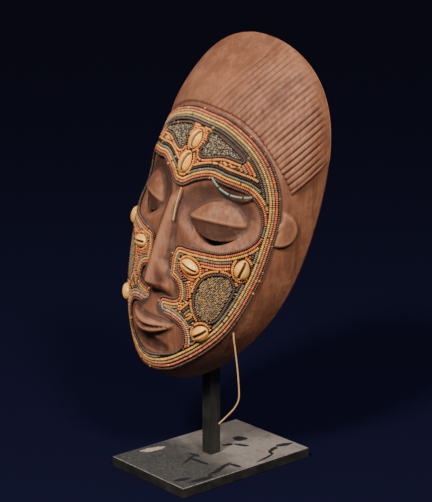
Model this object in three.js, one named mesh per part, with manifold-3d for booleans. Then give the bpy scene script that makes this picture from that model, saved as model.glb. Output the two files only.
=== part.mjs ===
// A carved wooden face mask with beadwork and cowries, leaning back on a square post and base plate.
// Millimetres, +Z up. The origin is the middle of the base plate's underside; the face looks along -Y.
import * as THREE from 'three';
import { mergeVertices } from 'three/addons/utils/BufferGeometryUtils.js';
import Module from 'manifold-3d';

// Stand
const basePlate = { width: 111, length: 165, thickness: 10.5, chamfer: 0.6 };
const post = { side: 12.7, chamfer: 0.5 };
const postTopGap = 0.4;

// Mask: its pose on the stand, and the middle of its open back in the part's frame
const tiltBack = THREE.MathUtils.degToRad(18);
const sideLean = THREE.MathUtils.degToRad(8.3);
const maskMiddle = new THREE.Vector3(1, 40.4, 250.4);

// Mask: length, wall, and the cubics of half width, depth and rim bow over its length (u from -1 to 1)
const maskLength = 346;
const wall = 12;
const outlinePower = 2.19;
const halfWidthCubic = [100.2, -3.2, 14.8, 40];
const depthCubic = [90.5, 13.3, -55.2, -44.3];
const rimBowCubic = [0, 0, -29.4, -14.4];
const sectionPower = { middle: 0.36, ends: 0.22 };

// Carving of the face: places are (across, up) over the skin of the mask, heights stand off it
const eye = { across: 53, up: -4, halfLength: 32, rise: 21, fall: 19, slope: 5, height: 10 };
const socket = { across: 52, up: 1, halfLength: 47, halfHeight: 33, depth: 9.5 };
const slit = { reach: 0.78, width: 5 };
const nose = {
  top: 12, rootFade: 14, bridge: 2.5, tip: 17, tipUp: -82, foot: -91, bridgeHalf: 6.5, stemHalf: 11.5, wingHalf: 26,
};
const muzzle = { up: -122, halfWidth: 38, halfHeight: 32, height: 7 };
const lips = { halfWidth: 30, up: -127, cornerRise: 9, thickness: 9, height: 6.5 };
const chinHollow = { up: -144, halfWidth: 30, halfHeight: 9, depth: 3 };

// Ears: low half discs behind the beadwork border
const ear = { across: 115.5, up: 8, reach: 19, halfHeight: 17, height: 3.2, sunk: 2.5, bevel: 0.82 };

// Grid of the carved wood: columns as shares of the half sheet, and bands of rows up the sheet
const woodColumns = [
  0, 0.027, 0.056, 0.088, 0.125, 0.17, 0.22, 0.27, 0.32, 0.37, 0.42, 0.47, 0.525, 0.59, 0.7, 0.84, 1,
];
const woodRows = [[-203, -158, 3], [-158, 22, 27], [22, 182, 6]];

// Coiffure: a raised cap whose combs run in parallel planes on each side, from the hairline back to the rim.
// Between parting.left and parting.right on the hairline the cap is worn smooth
const hair = {
  sideUp: 37, crownRise: 56, halfWidth: 95, endInset: 0.5, powerAcross: 2.8, powerUp: 0.65,
  combPitch: 5.1, combDepth: 1.5, sunk: 5, rimStop: 0.985, rows: 4,
};
const hairEdge = hair.halfWidth - hair.endInset;
const combLean = { back: 0.91, up: 0.764 };
const parting = { left: -72, right: -16, reach: 40, columns: 12 };
const hairRise = [2.2, 4.2, 3.6, 2.4, 0.9];

// Beadwork: bead size, the gap under it, and rows in the border
const bead = { pitch: 2.85, height: 2.9, valley: 1.4, gap: 0.7 };
const borderRows = 4;
const sheetHeight = 2.7;
const fieldHeight = 2.2;
const seam = 0.35;
const woodClearance = 0.3;
const cowrieRest = sheetHeight + 0.7;

// How far the cutters reach: through the whole mask, and through the beadwork only
const throughCut = { front: -140, back: 10 };
const beadCut = { high: 14, low: -6 };

// Outer edge of the beadwork, from the middle of the hairline down the right side to the chin
const borderEdge = [
  [0, 91], [24, 90.5], [45, 86], [66, 78], [85, 65], [99, 49], [108, 32], [113, 12], [113.5, -12],
  [111, -38], [105.5, -60], [98, -82], [86, -106], [70, -127], [50, -147], [27, -164], [0, -172],
];
// Edge of the bare wood inside the beadwork: brow, eye, nose, philtrum and mouth, right side
const bareEdge = [
  [0, 13], [7, 14], [20, 23], [36, 30], [50, 29.5], [64, 29.5], [76, 29], [88, 22], [95, 12], [97, -2],
  [92, -13], [80, -23], [67, -30], [54, -33], [36, -36], [19, -39], [13.5, -50], [13.5, -63], [14.5, -72],
  [27, -78], [28.5, -88], [9, -94.5], [5.5, -101], [6, -107], [12, -112.5], [28, -113], [39, -117],
  [43, -128], [38, -138], [25, -147], [0, -155],
];
// Fields of loose seed beads inside the rows
const cheekField = [
  [60, -58], [77, -51], [85, -57], [82, -73], [72, -95], [61, -100], [52, -91], [51, -73],
];
const foreheadField = [[14, 70], [38, 66], [60, 57], [41, 56], [15, 48], [13, 54], [16, 62]];

// Cowries, which rest on the rows: (across, up), length, width, height and turn of the mouth from the up direction
const cowries = [
  { name: 'cowrie_forehead_upper', at: [0, 59.5], length: 20, width: 14.5, height: 7.5, turn: 0 },
  { name: 'cowrie_forehead_lower', at: [0, 36.5], length: 22, width: 15, height: 8, turn: 0 },
];
const cowriePairs = [
  { name: 'cowrie_inner_cheek', at: [39.5, -54.5], length: 21, width: 14, height: 7.5, turn: 98 },
  { name: 'cowrie_outer_cheek', at: [90.5, -38.5], length: 20, width: 14.5, height: 7.5, turn: 8 },
  { name: 'cowrie_lower_cheek', at: [61, -112.5], length: 19, width: 14, height: 7.5, turn: 42 },
];

// Threads: diameter and sides, with the routes chosen by hand
const thread = { diameter: 1.5, sides: 8 };
const browThreadRoute = [
  [9, 13, 4.6], [8.9, 9, 4.6], [8.8, 4.5, 4.6], [8.8, 0, 4.7], [8.9, -4.5, 4.8], [9.2, -9, 4.8],
  [9.6, -13.5, 4.8], [10, -18.5, 4.8],
];
const looseStringRoute = [
  [37, 34, 4.4], [42, 30.4, 4.6], [48, 27, 4.6], [54, 24.8, 4.6], [61, 23.8, 4.6], [68, 24.4, 4.6],
  [75, 26.2, 4.6], [81, 29, 4.4],
];
const looseStringDiameter = 2.4;
const hangingThreadStart = { across: 92, up: -100, height: 2.6 };
const hangingThreadDrop = [
  [0, 0, 0], [1.1, -0.6, -6], [1.6, 0.2, -13], [2, 0.9, -20], [2.7, 1.6, -28], [3.3, 2.2, -36], [3.8, 2.7, -44],
  [4.2, 3.1, -52], [4.5, 3.3, -59], [4.4, 3.2, -64], [3.4, 2.5, -69], [1.4, 0.9, -74], [-1.2, -1, -78.5],
  [-4.4, -3.5, -83], [-7.7, -6.1, -87.5], [-11, -8.7, -92],
];
const threadSteps = 3;

const wasm = await Module();
wasm.setup();

const colours = {
  wood: new THREE.MeshStandardMaterial({ color: 0x6b4433, roughness: 0.7, metalness: 0 }),
  beads: new THREE.MeshStandardMaterial({ color: 0xa2593a, roughness: 0.45, metalness: 0 }),
  seeds: new THREE.MeshStandardMaterial({ color: 0x6f6a4c, roughness: 0.5, metalness: 0 }),
  shell: new THREE.MeshStandardMaterial({ color: 0xd9a65a, roughness: 0.35, metalness: 0 }),
  steel: new THREE.MeshStandardMaterial({ color: 0x1c1c1d, roughness: 0.45, metalness: 0.4 }),
  thread: new THREE.MeshStandardMaterial({ color: 0xb98a5e, roughness: 0.8, metalness: 0 }),
};

const cubic = (c, u) => c[0] + c[1] * u + c[2] * u * u + c[3] * u ** 3;
const mix = (a, b, t) => a + (b - a) * t;
const ramp = (t) => Math.min(1, Math.max(0, t));
const smooth = (t) => ramp(t) ** 2 * (3 - 2 * ramp(t));

// The carved form at an inset from the outer skin: half length, widths, depths and rim
function formAt(inset) {
  const half = maskLength / 2 - inset;
  return {
    half,
    width: (u) => cubic(halfWidthCubic, u) - inset,
    depth: (u) => cubic(depthCubic, u) - inset,
    rim: (u) => cubic(rimBowCubic, u),
    power: (u) => mix(sectionPower.middle, sectionPower.ends, u * u),
  };
}
const skin = formAt(0);
const hollow = formAt(wall);

// A point of the form's cross-section: turn runs from 0 at the middle line to a quarter turn at the rim
function sectionPoint(form, u, turn) {
  const closing = Math.max(0, 1 - Math.abs(u) ** outlinePower);
  const power = form.power(u);
  const facing = Math.max(0, Math.cos(turn));
  const across = form.width(u) * Math.sqrt(closing) * Math.sqrt(Math.max(0, 1 - facing ** (1 / power)));
  const back = form.rim(u) - form.depth(u) * closing ** power * facing;
  return new THREE.Vector3(Math.sign(turn) * across, back, form.half * u);
}

// Share of the outline used up at a place: 1 on the skin, less inside it
function outlineShare(form, p) {
  const u = p.z / form.half;
  const deep = Math.max(0, form.rim(u) - p.y) / form.depth(u);
  return deep ** (1 / form.power(u)) + Math.abs(u) ** outlinePower + (p.x / form.width(u)) ** 2;
}

function outward(form, p) {
  const step = 0.05;
  const slopes = ['x', 'y', 'z'].map((axis) => {
    const ahead = p.clone();
    const behind = p.clone();
    ahead[axis] += step;
    behind[axis] -= step;
    return outlineShare(form, ahead) - outlineShare(form, behind);
  });
  return new THREE.Vector3(...slopes).normalize();
}

// The skin unrolled to a sheet: (across, up) measured along the surface from the middle of the face
function unroll(form) {
  const samples = 1200;
  const rows = 260;
  const columns = 120;
  const heights = [];
  for (let i = 0; i <= samples; i += 1) {
    const t = (2 * i) / samples - 1;
    heights.push(Math.sign(t) * Math.min(0.99999, 1 - (1 - Math.abs(t)) ** 3));
  }
  const along = [0];
  for (let i = 1; i <= samples; i += 1) {
    const here = sectionPoint(form, heights[i], 0);
    along.push(along[i - 1] + here.distanceTo(sectionPoint(form, heights[i - 1], 0)));
  }
  const middle = along[samples / 2];
  const bottom = -middle;
  const top = along[samples] - middle;
  const table = [];
  let seek = 1;
  for (let r = 0; r <= rows; r += 1) {
    const target = mix(bottom, top, r / rows) + middle;
    while (seek < samples && along[seek] < target) seek += 1;
    const share = (target - along[seek - 1]) / (along[seek] - along[seek - 1]);
    const u = mix(heights[seek - 1], heights[seek], share);
    const fine = [];
    for (let k = 0; k <= samples / 4; k += 1) {
      fine.push(sectionPoint(form, u, ((Math.PI / 2) * k) / (samples / 4) + 1e-9));
    }
    const curve = [0];
    for (let k = 1; k < fine.length; k += 1) curve.push(curve[k - 1] + fine[k].distanceTo(fine[k - 1]));
    const half = curve[curve.length - 1];
    const points = [];
    let at = 1;
    for (let c = 0; c <= columns; c += 1) {
      const goal = (half * c) / columns;
      while (at < fine.length - 1 && curve[at] < goal) at += 1;
      const part = (goal - curve[at - 1]) / Math.max(1e-9, curve[at] - curve[at - 1]);
      points.push(fine[at - 1].clone().lerp(fine[at], part));
    }
    table.push({ half, points });
  }
  return { rows, columns, bottom, top, table };
}
const sheet = unroll(skin);

function halfSheet(up) {
  const r = ramp((up - sheet.bottom) / (sheet.top - sheet.bottom)) * sheet.rows;
  const low = Math.min(sheet.rows - 1, Math.floor(r));
  return mix(sheet.table[low].half, sheet.table[low + 1].half, r - low);
}

function sheetPoint(across, up) {
  const r = ramp((up - sheet.bottom) / (sheet.top - sheet.bottom)) * sheet.rows;
  const low = Math.min(sheet.rows - 1, Math.floor(r));
  const c = ramp(Math.abs(across) / halfSheet(up)) * sheet.columns;
  const left = Math.min(sheet.columns - 1, Math.floor(c));
  const rows = [sheet.table[low], sheet.table[low + 1]];
  const ends = rows.map((row) => row.points[left].clone().lerp(row.points[left + 1], c - left));
  const p = ends[0].lerp(ends[1], r - low);
  p.x *= Math.sign(across);
  return p;
}

// A point over the skin, at a height along its outward direction
function onMask(across, up, height) {
  const step = 1;
  const side = sheetPoint(across + step, up).sub(sheetPoint(across - step, up));
  const rise = sheetPoint(across, up + step).sub(sheetPoint(across, up - step));
  return sheetPoint(across, up).addScaledVector(side.cross(rise).normalize(), height);
}

// Carved heights of the face over the plain skin
function eyeMiddleLine(share) {
  return eye.up + eye.slope * share;
}

function eyeRelief(a, up) {
  const share = (a - eye.across) / eye.halfLength;
  if (Math.abs(share) >= 1) return 0;
  const open = (1 - share * share) ** 0.8;
  const above = up - eyeMiddleLine(share);
  const reach = above > 0 ? eye.rise * open : eye.fall * open;
  const t = Math.abs(above) / Math.max(0.5, reach);
  if (t >= 1) return 0;
  return eye.height * open * (above > 0 ? 1 - t ** 2.2 : (1 - t) ** 0.9);
}

function noseRelief(a, up) {
  if (up > nose.top || up < nose.foot) return 0;
  const down = ramp((nose.top - up) / (nose.top - nose.tipUp));
  const crest = mix(nose.bridge, nose.tip, down) * smooth((nose.top - up) / nose.rootFade);
  const foot = ramp((up - nose.foot) / (nose.tipUp - nose.foot)) ** 0.6;
  const stem = mix(nose.bridgeHalf, nose.stemHalf, ramp(down * 1.8));
  const half = mix(stem, nose.wingHalf, smooth((down - 0.72) / 0.24));
  const t = a / half;
  if (t >= 1) return 0;
  const wing = 1 - 0.45 * smooth((down - 0.75) / 0.25) * smooth(t * 2.2);
  return crest * foot * (1 - t ** 1.7) * wing;
}

function mouthRelief(a, up) {
  const far = (a / muzzle.halfWidth) ** 2 + ((up - muzzle.up) / muzzle.halfHeight) ** 2;
  const mound = far < 1 ? muzzle.height * (1 - far) ** 2 : 0;
  const share = a / lips.halfWidth;
  let roll = 0;
  if (share < 1) {
    const line = lips.up + lips.cornerRise * share ** 1.6;
    const thick = lips.thickness * (1 - share * share) + 0.5;
    const t = Math.abs(up - line) / thick;
    if (t < 1) roll = lips.height * (1 - share * share) ** 0.5 * Math.sin(Math.PI * t ** 0.7);
  }
  const chin = (a / chinHollow.halfWidth) ** 2 + ((up - chinHollow.up) / chinHollow.halfHeight) ** 2;
  const dip = chin < 1 ? chinHollow.depth * (1 - chin) : 0;
  return mound + roll - dip;
}

function relief(across, up) {
  const a = Math.abs(across);
  const far = ((a - socket.across) / socket.halfLength) ** 2 + ((up - socket.up) / socket.halfHeight) ** 2;
  const dish = far < 1 ? -socket.depth * (1 - far) ** 1.2 : 0;
  const bridge = noseRelief(a, up);
  return Math.max(dish + eyeRelief(a, up), bridge > 0 ? bridge : -Infinity) + mouthRelief(a, up);
}

// Meshes: a list of corners with quads, closed by the caller's layout
function meshBuilder() {
  const corners = [];
  const faces = [];
  return {
    add(p) {
      corners.push(p.x, p.y, p.z);
      return corners.length / 3 - 1;
    },
    face(a, b, c) {
      if (a !== b && b !== c && a !== c) faces.push(a, b, c);
    },
    quad(a, b, c, d) {
      this.face(a, b, c);
      this.face(a, c, d);
    },
    geometry() {
      const g = new THREE.BufferGeometry();
      g.setAttribute('position', new THREE.Float32BufferAttribute(corners, 3));
      g.setIndex(faces);
      return g;
    },
  };
}

function toSolid(geometry) {
  const bare = geometry.clone();
  bare.deleteAttribute('normal');
  bare.deleteAttribute('uv');
  const merged = mergeVertices(bare, 1e-4);
  const triVerts = new Uint32Array(merged.index.array);
  return new wasm.Manifold(new wasm.Mesh({ numProp: 3, vertProperties: merged.attributes.position.array, triVerts }));
}

function toGeometry(solid) {
  const mesh = solid.getMesh();
  const g = new THREE.BufferGeometry();
  const places = [];
  for (let i = 0; i < mesh.vertProperties.length; i += mesh.numProp) {
    places.push(mesh.vertProperties[i], mesh.vertProperties[i + 1], mesh.vertProperties[i + 2]);
  }
  g.setAttribute('position', new THREE.Float32BufferAttribute(places, 3));
  g.setIndex(Array.from(mesh.triVerts));
  g.computeVertexNormals();
  return g;
}

// A slab between two layers of the same grid, rows upward and columns to the right seen from outside
function slabGeometry(rows, columns, place) {
  const b = meshBuilder();
  const layers = [1, 0].map((top) => {
    const grid = [];
    for (let i = 0; i <= rows; i += 1) {
      grid.push([]);
      for (let j = 0; j <= columns; j += 1) grid[i].push(b.add(place(i, j, top === 1)));
    }
    return grid;
  });
  const [outer, inner] = layers;
  for (let i = 0; i < rows; i += 1) {
    for (let j = 0; j < columns; j += 1) {
      b.quad(outer[i][j], outer[i][j + 1], outer[i + 1][j + 1], outer[i + 1][j]);
      b.quad(inner[i][j], inner[i + 1][j], inner[i + 1][j + 1], inner[i][j + 1]);
    }
    b.quad(outer[i][0], outer[i + 1][0], inner[i + 1][0], inner[i][0]);
    b.quad(outer[i + 1][columns], outer[i][columns], inner[i][columns], inner[i + 1][columns]);
  }
  for (let j = 0; j < columns; j += 1) {
    b.quad(outer[0][j + 1], outer[0][j], inner[0][j], inner[0][j + 1]);
    b.quad(outer[rows][j], outer[rows][j + 1], inner[rows][j + 1], inner[rows][j]);
  }
  return b.geometry();
}

// A closed profile carried round a ring of stations
function ringGeometry(stations, profileSize, place) {
  const b = meshBuilder();
  const rings = [];
  for (let i = 0; i < stations; i += 1) {
    rings.push([]);
    for (let k = 0; k < profileSize; k += 1) rings[i].push(b.add(place(i, k)));
  }
  for (let i = 0; i < stations; i += 1) {
    const next = rings[(i + 1) % stations];
    for (let k = 0; k < profileSize; k += 1) {
      const m = (k + 1) % profileSize;
      b.quad(rings[i][k], rings[i][m], next[m], next[k]);
    }
  }
  return b.geometry();
}

// Outlines on the sheet
function mirrored(half) {
  const inner = half.slice(1, -1).reverse();
  return half.concat(inner.map(([a, up]) => [-a, up]));
}

function smoothOutline(points, count) {
  const curve = new THREE.CatmullRomCurve3(points.map(([a, up]) => new THREE.Vector3(a, up, 0)), true, 'centripetal');
  return curve.getSpacedPoints(count).slice(0, count).map((p) => [p.x, p.y]);
}

// Moves a clockwise outline outward by a distance, or inward when it is negative
function grown(outline, distance) {
  const n = outline.length;
  return outline.map(([a, up], i) => {
    const before = outline[(i + n - 1) % n];
    const after = outline[(i + 1) % n];
    const da = after[0] - before[0];
    const du = after[1] - before[1];
    const long = Math.hypot(da, du) || 1;
    return [a - (du / long) * distance, up + (da / long) * distance];
  });
}

// A cutter through the face: the outline laid on the skin and carried straight back to front
function cutter(outline) {
  const { front, back } = throughCut;
  const shape = new THREE.Shape(outline.map(([a, up]) => {
    const p = sheetPoint(a, up);
    return new THREE.Vector2(p.x, p.z);
  }));
  const g = new THREE.ExtrudeGeometry(shape, { depth: back - front, bevelEnabled: false });
  g.rotateX(Math.PI / 2);
  g.translate(0, back, 0);
  return toSolid(g);
}

// A cutter for a small outline, its walls square to the skin
function squareCutter(outline) {
  const { high, low } = beadCut;
  const b = meshBuilder();
  const top = outline.map(([a, up]) => b.add(onMask(a, up, high)));
  const under = outline.map(([a, up]) => b.add(onMask(a, up, low)));
  const flat = outline.map(([a, up]) => new THREE.Vector2(a, up));
  THREE.ShapeUtils.triangulateShape(flat, []).forEach(([i, j, k]) => {
    b.face(top[i], top[j], top[k]);
    b.face(under[i], under[k], under[j]);
  });
  const n = outline.length;
  outline.forEach((place, i) => b.quad(top[i], top[(i + 1) % n], under[(i + 1) % n], under[i]));
  return toSolid(b.geometry());
}

// Carved wood: outer skin with its relief, closed across the back
function carvedBlock(raised) {
  const b = meshBuilder();
  const ups = [];
  woodRows.forEach(([low, high, count], n) => {
    for (let i = n === 0 ? 1 : 0; i < count; i += 1) ups.push(mix(low, high, i / count));
  });
  const shares = woodColumns.slice(1).reverse().map((share) => -share).concat(woodColumns);
  const rows = ups.map((up) => shares.map((share) => {
    const across = share * halfSheet(up);
    const height = Math.abs(share) === 1 ? 0 : relief(across, up) + raised;
    return b.add(height === 0 ? sheetPoint(across, up) : onMask(across, up, height));
  }));
  const last = shares.length - 1;
  for (let i = 0; i < rows.length - 1; i += 1) {
    for (let j = 0; j < last; j += 1) b.quad(rows[i][j], rows[i][j + 1], rows[i + 1][j + 1], rows[i + 1][j]);
    b.quad(rows[i][last], rows[i][0], rows[i + 1][0], rows[i + 1][last]);
  }
  const foot = b.add(new THREE.Vector3(0, skin.rim(-1), -skin.half));
  const crown = b.add(new THREE.Vector3(0, skin.rim(1), skin.half));
  const first = rows[0];
  const final = rows[rows.length - 1];
  for (let j = 0; j < last; j += 1) {
    b.face(foot, first[j + 1], first[j]);
    b.face(crown, final[j], final[j + 1]);
  }
  b.face(foot, first[0], first[last]);
  b.face(crown, final[last], final[0]);
  return toSolid(b.geometry());
}

// The hollow behind the face, run out past the rim so that the back is open
function hollowBlock() {
  const b = meshBuilder();
  const rowsHalf = 6;
  const columnsHalf = 6;
  const out = 30;
  const rows = [];
  for (let i = 1 - rowsHalf; i < rowsHalf; i += 1) {
    const u = Math.sin((Math.PI / 2) * (i / rowsHalf));
    const row = [];
    const edge = sectionPoint(hollow, u, Math.PI / 2 - 1e-9);
    row.push(b.add(new THREE.Vector3(-edge.x, edge.y + out, edge.z)));
    for (let j = -columnsHalf; j <= columnsHalf; j += 1) {
      row.push(b.add(sectionPoint(hollow, u, ((Math.PI / 2) * j) / columnsHalf)));
    }
    row.push(b.add(new THREE.Vector3(edge.x, edge.y + out, edge.z)));
    rows.push(row);
  }
  const last = rows[0].length - 1;
  for (let i = 0; i < rows.length - 1; i += 1) {
    for (let j = 0; j < last; j += 1) b.quad(rows[i][j], rows[i][j + 1], rows[i + 1][j + 1], rows[i + 1][j]);
    b.quad(rows[i][last], rows[i][0], rows[i + 1][0], rows[i + 1][last]);
  }
  const foot = rows[0];
  const crown = rows[rows.length - 1];
  for (let j = 1; j < last; j += 1) {
    b.face(foot[0], foot[j + 1], foot[j]);
    b.face(crown[0], crown[j], crown[j + 1]);
  }
  return toSolid(b.geometry());
}

// Eye slits: a crescent along the lower edge of each eye, cut through to the hollow
function slitOutline(side) {
  const upper = [];
  const lower = [];
  const steps = 10;
  for (let i = 0; i <= steps; i += 1) {
    const share = mix(-slit.reach, slit.reach * 0.95, i / steps);
    const edge = eyeMiddleLine(share) - eye.fall * (1 - share * share) ** 0.8;
    const swell = slit.width * Math.sin((Math.PI * i) / steps) ** 0.7;
    upper.push([side * (eye.across + share * eye.halfLength), edge + 0.4]);
    lower.push([side * (eye.across + share * eye.halfLength), edge - swell]);
  }
  return upper.concat(lower.slice(1, -1).reverse());
}

function earSolid(side) {
  const arc = 9;
  const rim = [];
  for (let i = 0; i <= arc; i += 1) {
    const angle = mix(-Math.PI / 2, Math.PI / 2, i / arc);
    rim.push([Math.cos(angle), Math.sin(angle)]);
  }
  const b = meshBuilder();
  const heights = [[1, -ear.sunk], [1, ear.height * 0.5], [ear.bevel, ear.height]];
  const rings = heights.map(([size, height]) => rim.map(([c, s]) => {
    const across = ear.across + ear.reach * c * size;
    return b.add(onMask(side * across, ear.up + ear.halfHeight * s * size, height));
  }));
  const last = rim.length - 1;
  const outwards = (p, q, r) => (side > 0 ? b.face(p, q, r) : b.face(p, r, q));
  for (let n = 0; n < rings.length - 1; n += 1) {
    for (let i = 0; i < last; i += 1) {
      outwards(rings[n][i], rings[n][i + 1], rings[n + 1][i + 1]);
      outwards(rings[n][i], rings[n + 1][i + 1], rings[n + 1][i]);
    }
    outwards(rings[n][last], rings[n][0], rings[n + 1][0]);
    outwards(rings[n][last], rings[n + 1][0], rings[n + 1][last]);
  }
  for (let i = 1; i < last; i += 1) {
    outwards(rings[2][0], rings[2][i], rings[2][i + 1]);
    outwards(rings[0][0], rings[0][i + 1], rings[0][i]);
  }
  return toSolid(b.geometry());
}

// Coiffure: each column runs from the hairline to the rim, and a comb keeps to its own plane
function hairlineUp(x) {
  const share = Math.min(1, Math.abs(x) / hair.halfWidth);
  return hair.sideUp + hair.crownRise * (1 - share ** hair.powerAcross) ** hair.powerUp;
}

function skinAt(x, z) {
  const u = z / skin.half;
  const room = Math.max(0, 1 - Math.abs(u) ** outlinePower - (x / skin.width(u)) ** 2);
  return new THREE.Vector3(x, skin.rim(u) - skin.depth(u) * room ** skin.power(u), z);
}

function halfAt(z) {
  const u = z / skin.half;
  return skin.width(u) * Math.sqrt(Math.max(0, 1 - Math.abs(u) ** outlinePower));
}

// Halves the way from low to high until a rising measure meets its goal
function meet(low, high, goal, measure) {
  let [a, b] = [low, high];
  for (let i = 0; i < 40; i += 1) {
    const middle = (a + b) / 2;
    if (measure(middle) < goal) a = middle;
    else b = middle;
  }
  return (a + b) / 2;
}

const combPlane = (p) => p.x + combLean.back * p.y - combLean.up * p.z;
const hairlinePlane = (x) => combPlane(skinAt(x, hairlineUp(x)));
const rimPlane = (z) => combPlane(new THREE.Vector3(halfAt(z), skin.rim(z / skin.half), z));
const easeOut = (t) => 1 - (1 - t) ** 4;

// Where a comb runs: (x, z) for t from 0 at the hairline to 1 at the rim
function combPath(plane) {
  const low = hairlineUp(meet(parting.right, hairEdge, plane, hairlinePlane));
  const high = meet(low, skin.half, -plane, (z) => -rimPlane(z));
  return (t) => {
    const z = mix(low, high, easeOut(t));
    const inner = -Math.min(parting.reach, 0.9 * halfAt(z));
    return [meet(inner, halfAt(z), plane, (x) => combPlane(skinAt(x, z))), z];
  };
}

function combPaths(start) {
  const first = hairlinePlane(start);
  const last = hairlinePlane(hairEdge);
  const count = 2 * Math.round((last - first) / (hair.combPitch * Math.hypot(1, combLean.back, combLean.up)));
  const paths = [];
  for (let k = 0; k <= count; k += 1) paths.push(combPath(mix(first, last, k / count)));
  return paths;
}

// The same for a column of the smooth parting, between the nearest combs of the two sides
function partingPath(share, leftComb, rightComb) {
  const across = (t) => mix(-leftComb(t)[0], rightComb(t)[0], share);
  const low = hairlineUp(mix(parting.left, parting.right, share));
  const high = meet(0, skin.half, -Math.abs(across(1)), (z) => -halfAt(z));
  return (t) => [across(t), mix(low, high, easeOut(t))];
}

function stationsAlong(path, side) {
  const fine = 160;
  const places = [];
  const along = [0];
  for (let i = 0; i <= fine; i += 1) {
    const [x, z] = path(i / fine);
    places.push(skinAt(side * x, z));
    if (i > 0) along.push(along[i - 1] + places[i].distanceTo(places[i - 1]));
  }
  const stations = [];
  let at = 1;
  for (let r = 0; r <= hair.rows; r += 1) {
    const goal = (along[fine] * hair.rimStop * r) / hair.rows;
    while (at < fine && along[at] < goal) at += 1;
    const part = (goal - along[at - 1]) / (along[at] - along[at - 1]);
    const p = places[at - 1].clone().lerp(places[at], part);
    stations.push({ p, n: outward(skin, p) });
  }
  return stations;
}

function coiffureColumns() {
  const right = combPaths(parting.right);
  const left = combPaths(-parting.left);
  const combs = (paths, side) => paths.map((path, k) => ({ line: stationsAlong(path, side), groove: k % 2 === 0 }));
  const middle = [];
  for (let k = 1; k < parting.columns; k += 1) {
    const path = partingPath(k / parting.columns, left[0], right[0]);
    middle.push({ line: stationsAlong(path, 1), groove: false });
  }
  return combs(left, -1).reverse().concat(middle, combs(right, 1));
}

function coiffureSolid() {
  const columns = coiffureColumns();
  const combs = [1, 1, 1, 1, 0];
  return toSolid(slabGeometry(hair.rows, columns.length - 1, (i, j, top) => {
    const { p, n } = columns[j].line[i];
    if (!top) return p.clone().addScaledVector(n, -hair.sunk);
    return p.clone().addScaledVector(n, hairRise[i] - (columns[j].groove ? hair.combDepth * combs[i] : 0));
  }));
}

// Room for the border in the coiffure: a band round the face, its walls square to the skin
function borderRoom() {
  const band = [
    [-woodClearance, beadCut.low], [-woodClearance, beadCut.high], [borderWidth, beadCut.high], [borderWidth, beadCut.low],
  ];
  const inset = band.map(([distance]) => grown(borderOutline, -distance));
  return toSolid(ringGeometry(borderOutline.length, band.length, (i, k) => onMask(...inset[k][i], band[k][1])));
}

function maskSolid() {
  let wood = carvedBlock(0);
  [1, -1].forEach((side) => {
    wood = wood.add(earSolid(side));
  });
  wood = wood.add(coiffureSolid().subtract(borderRoom())).subtract(hollowBlock());
  [1, -1].forEach((side) => {
    wood = wood.subtract(cutter(slitOutline(side)));
  });
  return wood;
}

// Beadwork border: rows of beads as ridges, run right round the face
const borderOutline = smoothOutline(mirrored(borderEdge), 46);
const borderWidth = borderRows * bead.pitch;

function borderGeometry() {
  const top = [];
  for (let k = 0; k <= 2 * borderRows; k += 1) {
    top.push([(k * bead.pitch) / 2, k % 2 === 1 ? bead.height : bead.valley]);
  }
  const under = 2;
  const bottom = [];
  for (let k = under; k >= 0; k -= 1) bottom.push([(k * borderWidth) / under, bead.gap]);
  const profile = top.concat(bottom);
  const inset = profile.map(([distance]) => grown(borderOutline, -distance));
  return ringGeometry(borderOutline.length, profile.length, (i, k) => {
    const [a, up] = inset[k][i];
    return onMask(a, up, profile[k][1]);
  });
}

// Beadwork inside the border, as one layer that is cut out round the bare wood, fields and cowries
function faceLayer(height, gap) {
  const edge = grown(borderOutline, -borderWidth - seam);
  const middle = [0, -40];
  const shares = [0.1, 0.28, 0.45, 0.6, 0.73, 0.84, 0.93, 1];
  const rings = shares.length - 1;
  return toSolid(ringGeometry(edge.length, 2 * rings + 2, (i, k) => {
    const upper = k <= rings;
    const step = upper ? rings - k : k - rings - 1;
    const share = shares[step];
    return onMask(mix(middle[0], edge[i][0], share), mix(middle[1], edge[i][1], share), upper ? height : gap);
  }));
}

// A cowrie: a domed shell, mouth side out, with a long toothed mouth down its middle
function cowrieGeometry(shell, side) {
  const stations = 5;
  const turn = THREE.MathUtils.degToRad(shell.turn) * side;
  const over = [-1, -0.5, 0, 0.5, 1];
  const dome = [0.2, 1, 0.62, 1, 0.2];
  return slabGeometry(stations, over.length - 1, (i, j, top) => {
    const t = mix(-0.985, 0.985, i / stations);
    const swell = Math.sqrt(1 - t * t);
    const egg = 0.95 - 0.05 * t;
    const across = (over[j] * swell * egg * shell.width) / 2;
    const along = (t * shell.length) / 2;
    const height = cowrieRest + (top ? 0.6 + (shell.height - cowrieRest) * dome[j] * swell ** 0.8 : 0);
    return onMask(
      side * shell.at[0] + across * Math.cos(turn) + along * Math.sin(turn),
      shell.at[1] - across * Math.sin(turn) + along * Math.cos(turn),
      height,
    );
  });
}

// Threads as tubes along their routes
function tubeGeometry(points, diameter, sides, step) {
  const path = new THREE.CatmullRomCurve3(points, false, 'centripetal');
  const ring = [];
  for (let i = 0; i < sides; i += 1) {
    const angle = (2 * Math.PI * i) / sides;
    ring.push(new THREE.Vector2((Math.cos(angle) * diameter) / 2, (Math.sin(angle) * diameter) / 2));
  }
  const steps = Math.max(4, Math.round(path.getLength() / (step * diameter)));
  const g = new THREE.ExtrudeGeometry(new THREE.Shape(ring), { steps, extrudePath: path, bevelEnabled: false });
  return toGeometry(toSolid(g));
}

const model = new THREE.Group();
const mask = new THREE.Group();
mask.position.copy(maskMiddle);
mask.rotation.set(-tiltBack, sideLean, 0);
model.add(mask);
mask.updateMatrixWorld(true);

function piece(name, geometry, material, group) {
  const mesh = new THREE.Mesh(geometry, material);
  mesh.name = name;
  group.add(mesh);
  return mesh;
}

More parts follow.
